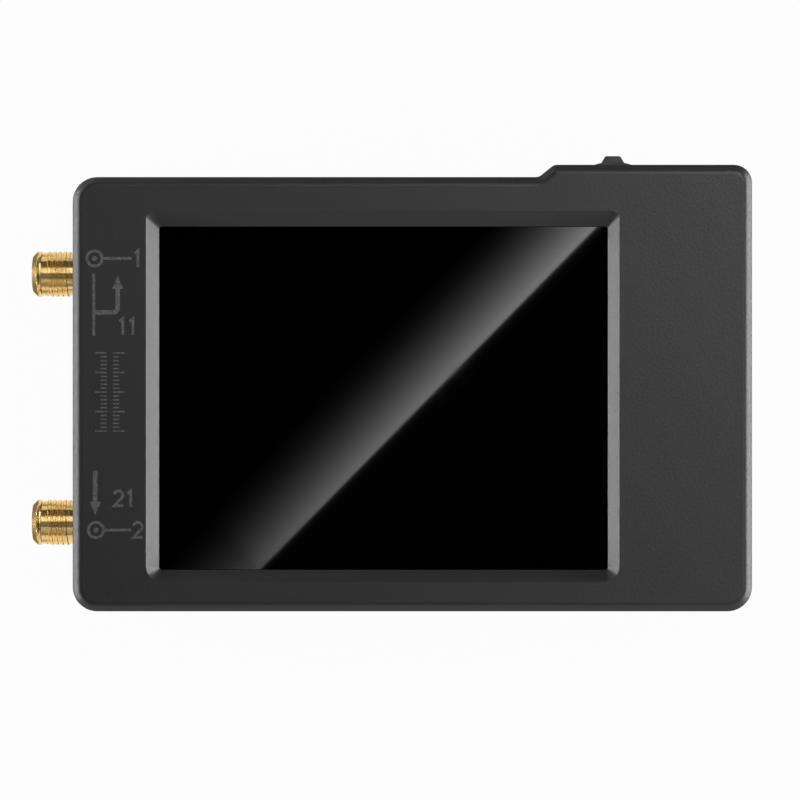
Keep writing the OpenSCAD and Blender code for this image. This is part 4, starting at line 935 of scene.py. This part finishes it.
# The printed marks between the ports and the window, in millimetres on the front face. The two
# arrows show reflected and passed power.
ink_low, ink_top = front_z - ink_room - 0.006 * MM, front_z - 0.002 * MM
ink_line, numeral_h = 0.37, 2.3
path_x, branch_x, branch_y, bend_r = -44.0, -40.7, 10.45, 0.6
marks = bmesh.new()
jack_sign(marks, -43.9, 17.9, 1, -37.9)
stroke(marks, [(path_x, 15.75), (path_x, 7.25)], ink_line)
bend = arc(branch_x - bend_r, branch_y + bend_r, bend_r, -90, 0, 5)
arrow(marks, [(path_x + ink_line / 2, branch_y), *bend, (branch_x, 13.7)])
for value, x in ((1, -40.0), (1, -38.6)):
    numeral(marks, value, x, 7.35)
arrow(marks, [(path_x + 0.2, -11.4), (path_x + 0.2, -15.7)])
for value, x in ((2, -40.6), (1, -38.9)):
    numeral(marks, value, x, -16.4)
jack_sign(marks, -43.7, -19.6, 2, -37.95)

# A plain double scale of ticks between the two paths, every fifth one longer.
tick_step, tick_count, tick_start = 0.54, 21, 4.85
tick_long, tick_short, tick_line = 1.6, 0.85, 0.2
for i in range(tick_count):
    length = tick_short if i % 5 else tick_long
    y = tick_start - i * tick_step
    for x, way in ((-42.2, -1), (-41.35, 1)):
        stroke(marks, [(x, y), (x + way * length, y)], tick_line)
outward(marks, "printed_marks", "case_plastic", "case", INK)

# The CAD nodes that no finished piece replaces get their finishes.
for node, thing in nodes.items():
    if not thing.hide_render:
        thing.data.materials.clear()
        thing.data.materials.append(FINISHES[node_slot[node]])


def lamp(name, place, aim, size, radiance, glossy=True):
    """A soft white lamp that the camera doesn't see."""
    light = bpy.data.lights.new(name, "AREA")
    light.shape = "RECTANGLE"
    light.size, light.size_y = size
    light.energy = radiance * math.pi * size[0] * size[1]
    thing = bpy.data.objects.new(name, light)
    bpy.context.scene.collection.objects.link(thing)
    thing.location = place
    thing.rotation_euler = (Vector(aim) - Vector(place)).to_track_quat("-Z", "Y").to_euler()
    thing.visible_camera = False
    thing.visible_glossy = glossy


lamp("overhead_softbox", (0.25, 0.25, 0.9), (0, 0, 0), (0.6, 0.6), 0.7, glossy=False)
# Low lamps at both sides light the bevels and leave the front face dark.
side_reach, side_z, side_size, side_aim = 0.42, 0.064, (0.5, 0.06), (0, 0, 0.018)
lamp("left_softbox", (-side_reach, 0.0, side_z), side_aim, side_size, 16.8)
lamp("right_softbox", (side_reach, 0.0, side_z), side_aim, side_size, 21.5)


def show_white(bench, strength=1.0):
    """1 for rays that see the surroundings, straight, in a reflection or through a clear piece."""
    rays = bench.node("ShaderNodeLightPath")
    seen = bench.sum("ADD", rays.outputs["Is Camera Ray"], rays.outputs["Is Glossy Ray"])
    seen = bench.sum("ADD", seen, rays.outputs["Is Transmission Ray"], clamp=True)
    return bench.sum("MULTIPLY", seen, strength)


def card(name, low, high, material):
    """A card between two opposite corners, upright or level, that only reflections see."""
    (x0, y0, z0), (x1, y1, z1) = low, high
    level = z0 == z1
    corners = [low, (x1, y0 if level else y1, z0), high, (x0, y1 if level else y0, z1)]
    mesh = bpy.data.meshes.new(name)
    mesh.from_pydata(corners, [], [(0, 1, 2, 3)])
    mesh.materials.append(material)
    thing = bpy.data.objects.new(name, mesh)
    bpy.context.scene.collection.objects.link(thing)
    thing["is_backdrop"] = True
    thing.visible_camera = False
    thing.visible_diffuse = False
    thing.visible_transmission = False
    thing.visible_volume_scatter = False
    thing.visible_shadow = False


def glow(name):
    """A material that only shines. Returns it with its bench and its emission node."""
    material = bpy.data.materials.new(name)
    material.use_nodes = True
    bench = Bench(material.node_tree)
    for made in list(bench.tree.nodes):
        bench.tree.nodes.remove(made)
    light = bench.node("ShaderNodeEmission")
    bench.tree.links.new(light.outputs[0], bench.node("ShaderNodeOutputMaterial").inputs[0])
    return material, bench, light


# The overhead card: black, with one bright band whose edge the glass reflects as a slanted line.
camera_place = Vector((-1.71, -1.65, 518.0)) * MM
card_z = 0.7
throw = 1 + (card_z - glass_z) / (camera_place.z - glass_z)


def on_card(x, y):
    """Where the glass at (x, y) millimetres reflects the camera's ray to."""
    return Vector((
        camera_place.x + throw * (x * MM - camera_place.x),
        camera_place.y + throw * (y * MM - camera_place.y),
    ))


streak_top, streak_foot = on_card(25.7, 22.5), on_card(-21.35, -25.38)
along = (streak_top - streak_foot).normalized()
across = Vector((-along.y, along.x))
band_width = 12.73 * MM * throw
card_material, bench, light = glow("overhead_card")
here = bench.node("ShaderNodeTexCoord").outputs["Object"]
from_foot = bench.aim("SUBTRACT", here, (streak_foot.x, streak_foot.y, 0.0))
depth = bench.aim("DOT_PRODUCT", from_foot, (across.x, across.y, 0.0))
length = bench.aim("DOT_PRODUCT", from_foot, (along.x, along.y, 0.0))
fall = bench.sum("POWER", bench.span(depth, 0.0, band_width, 1.0, 0.0), 3.6)
started = bench.sum("GREATER_THAN", depth, 0.0)
level = bench.sum("POWER", bench.span(length, 0.0, (streak_top - streak_foot).length), 0.5)
level = bench.sum("MULTIPLY_ADD", level, 3.7, 1.3)
band = bench.sum("MULTIPLY", bench.sum("MULTIPLY", fall, started), level)
x, y, _ = bench.split(here)
# Over the ports the card is grey, with a bright stripe across their axes and a paler one below.
over_ports = bench.sum("MULTIPLY", bench.span(x, -0.1, -0.107), bench.span(x, -0.152, -0.137))
stripe = bench.sum("ADD", bench.span(y, 0.04, 0.1, 0.0, 3.0), bench.span(y, 0.4, 0.46, 0.3, -2.7))
stripe = bench.sum("ADD", stripe, bench.span(y, -0.3, -0.36, 0.0, 1.25))
# To the right it glows, more so towards the top.
right_glow = bench.sum("MULTIPLY", bench.span(x, 0.12, 0.18), bench.span(x, 0.5, 0.2))
right_glow = bench.sum("MULTIPLY", right_glow, bench.span(y, -0.1, 0.3, 1.3, 8.0))
total = bench.sum("ADD", bench.sum("MULTIPLY_ADD", over_ports, stripe, band), right_glow)
bench.put(light.inputs["Strength"], total)
card_w, card_h = 1.2, 2.2
card("overhead_card", (-card_w, -card_h, card_z), (card_w, card_h, card_z), card_material)


def flags(label, strength, upright, flat):
    """Two grey cards that keep the white surroundings out of a reflection: one stands, one lies."""
    material, _, light = glow(f"{label}_flag")
    light.inputs["Strength"].default_value = strength
    card(f"{label}_flag", *upright, material)
    card(f"{label}_floor_flag", *flat, material)


# The top and bottom edges stay dark, the bottom one a little less.
flag_lift = 0.4 * MM
flag_near, flag_reach, flag_right, flag_top = 0.034, 0.3, 0.3, 0.22
for way, label, strength in ((1, "top", 0.2), (-1, "bottom", 0.75)):
    near, far = way * flag_near, way * flag_reach
    flags(
        label, strength,
        ((-0.072, far, 0), (flag_right, far, flag_top)),
        ((-0.046, near, flag_lift), (flag_right, far, flag_lift)),
    )

# The ports' chamfered tips don't glare.
tip_flag_x, case_side_x = -0.12, -0.0536
flags(
    "tip", 0.22,
    ((tip_flag_x, -0.09, 0), (tip_flag_x, 0.09, 0.0185)),
    ((tip_flag_x, -0.06, flag_lift), (case_side_x, 0.06, flag_lift)),
)

floor_material = bpy.data.materials.new("pale_floor")
floor_material.use_nodes = True
bench = Bench(floor_material.node_tree)
surface = bench.tree.nodes["Principled BSDF"]
surface.inputs["Roughness"].default_value = 0.9
surface.inputs["Specular IOR Level"].default_value = 0.0
clouds = bench.noise(bench.node("ShaderNodeTexCoord").outputs["Object"], 9.0)
paler = bench.tint(clouds, (0.8, 0.8, 0.8, 1), (0.83, 0.83, 0.83, 1))
bench.put(surface.inputs["Base Color"], paler)
white = bench.node("ShaderNodeEmission")
white.inputs["Strength"].default_value = 1.0
mixed = bench.node("ShaderNodeMixShader")
bench.put(mixed.inputs[0], show_white(bench, 0.97))
bench.tree.links.new(surface.outputs[0], mixed.inputs[1])
bench.tree.links.new(white.outputs[0], mixed.inputs[2])
bench.tree.links.new(mixed.outputs[0], bench.tree.nodes["Material Output"].inputs[0])
floor_mesh = bpy.data.meshes.new("floor")
floor_half, floor_z = 4, -0.05 * MM
floor_mesh.from_pydata([
    (-floor_half, -floor_half, floor_z), (floor_half, -floor_half, floor_z),
    (floor_half, floor_half, floor_z), (-floor_half, floor_half, floor_z),
], [], [(0, 1, 2, 3)])
floor_mesh.materials.append(floor_material)
floor = bpy.data.objects.new("floor", floor_mesh)
bpy.context.scene.collection.objects.link(floor)
floor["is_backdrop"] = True

world = bpy.data.worlds.new("studio")
bpy.context.scene.world = world
world.use_nodes = True
bench = Bench(world.node_tree)
sky = bench.tree.nodes["Background"]
sky.inputs["Color"].default_value = (1, 1, 1, 1)
bench.put(sky.inputs["Strength"], bench.span(show_white(bench), 0.0, 1.0, 0.1, 1.0))

camera = bpy.data.objects.new("camera", bpy.data.cameras.new("camera"))
bpy.context.scene.collection.objects.link(camera)
camera.location = camera_place
camera.data.sensor_width = 36
camera.data.lens = 162.93
camera.data.clip_start = 0.01
camera.data.clip_end = 20
bpy.context.scene.camera = camera
bpy.context.scene.view_settings.view_transform = "Standard"

low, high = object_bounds()
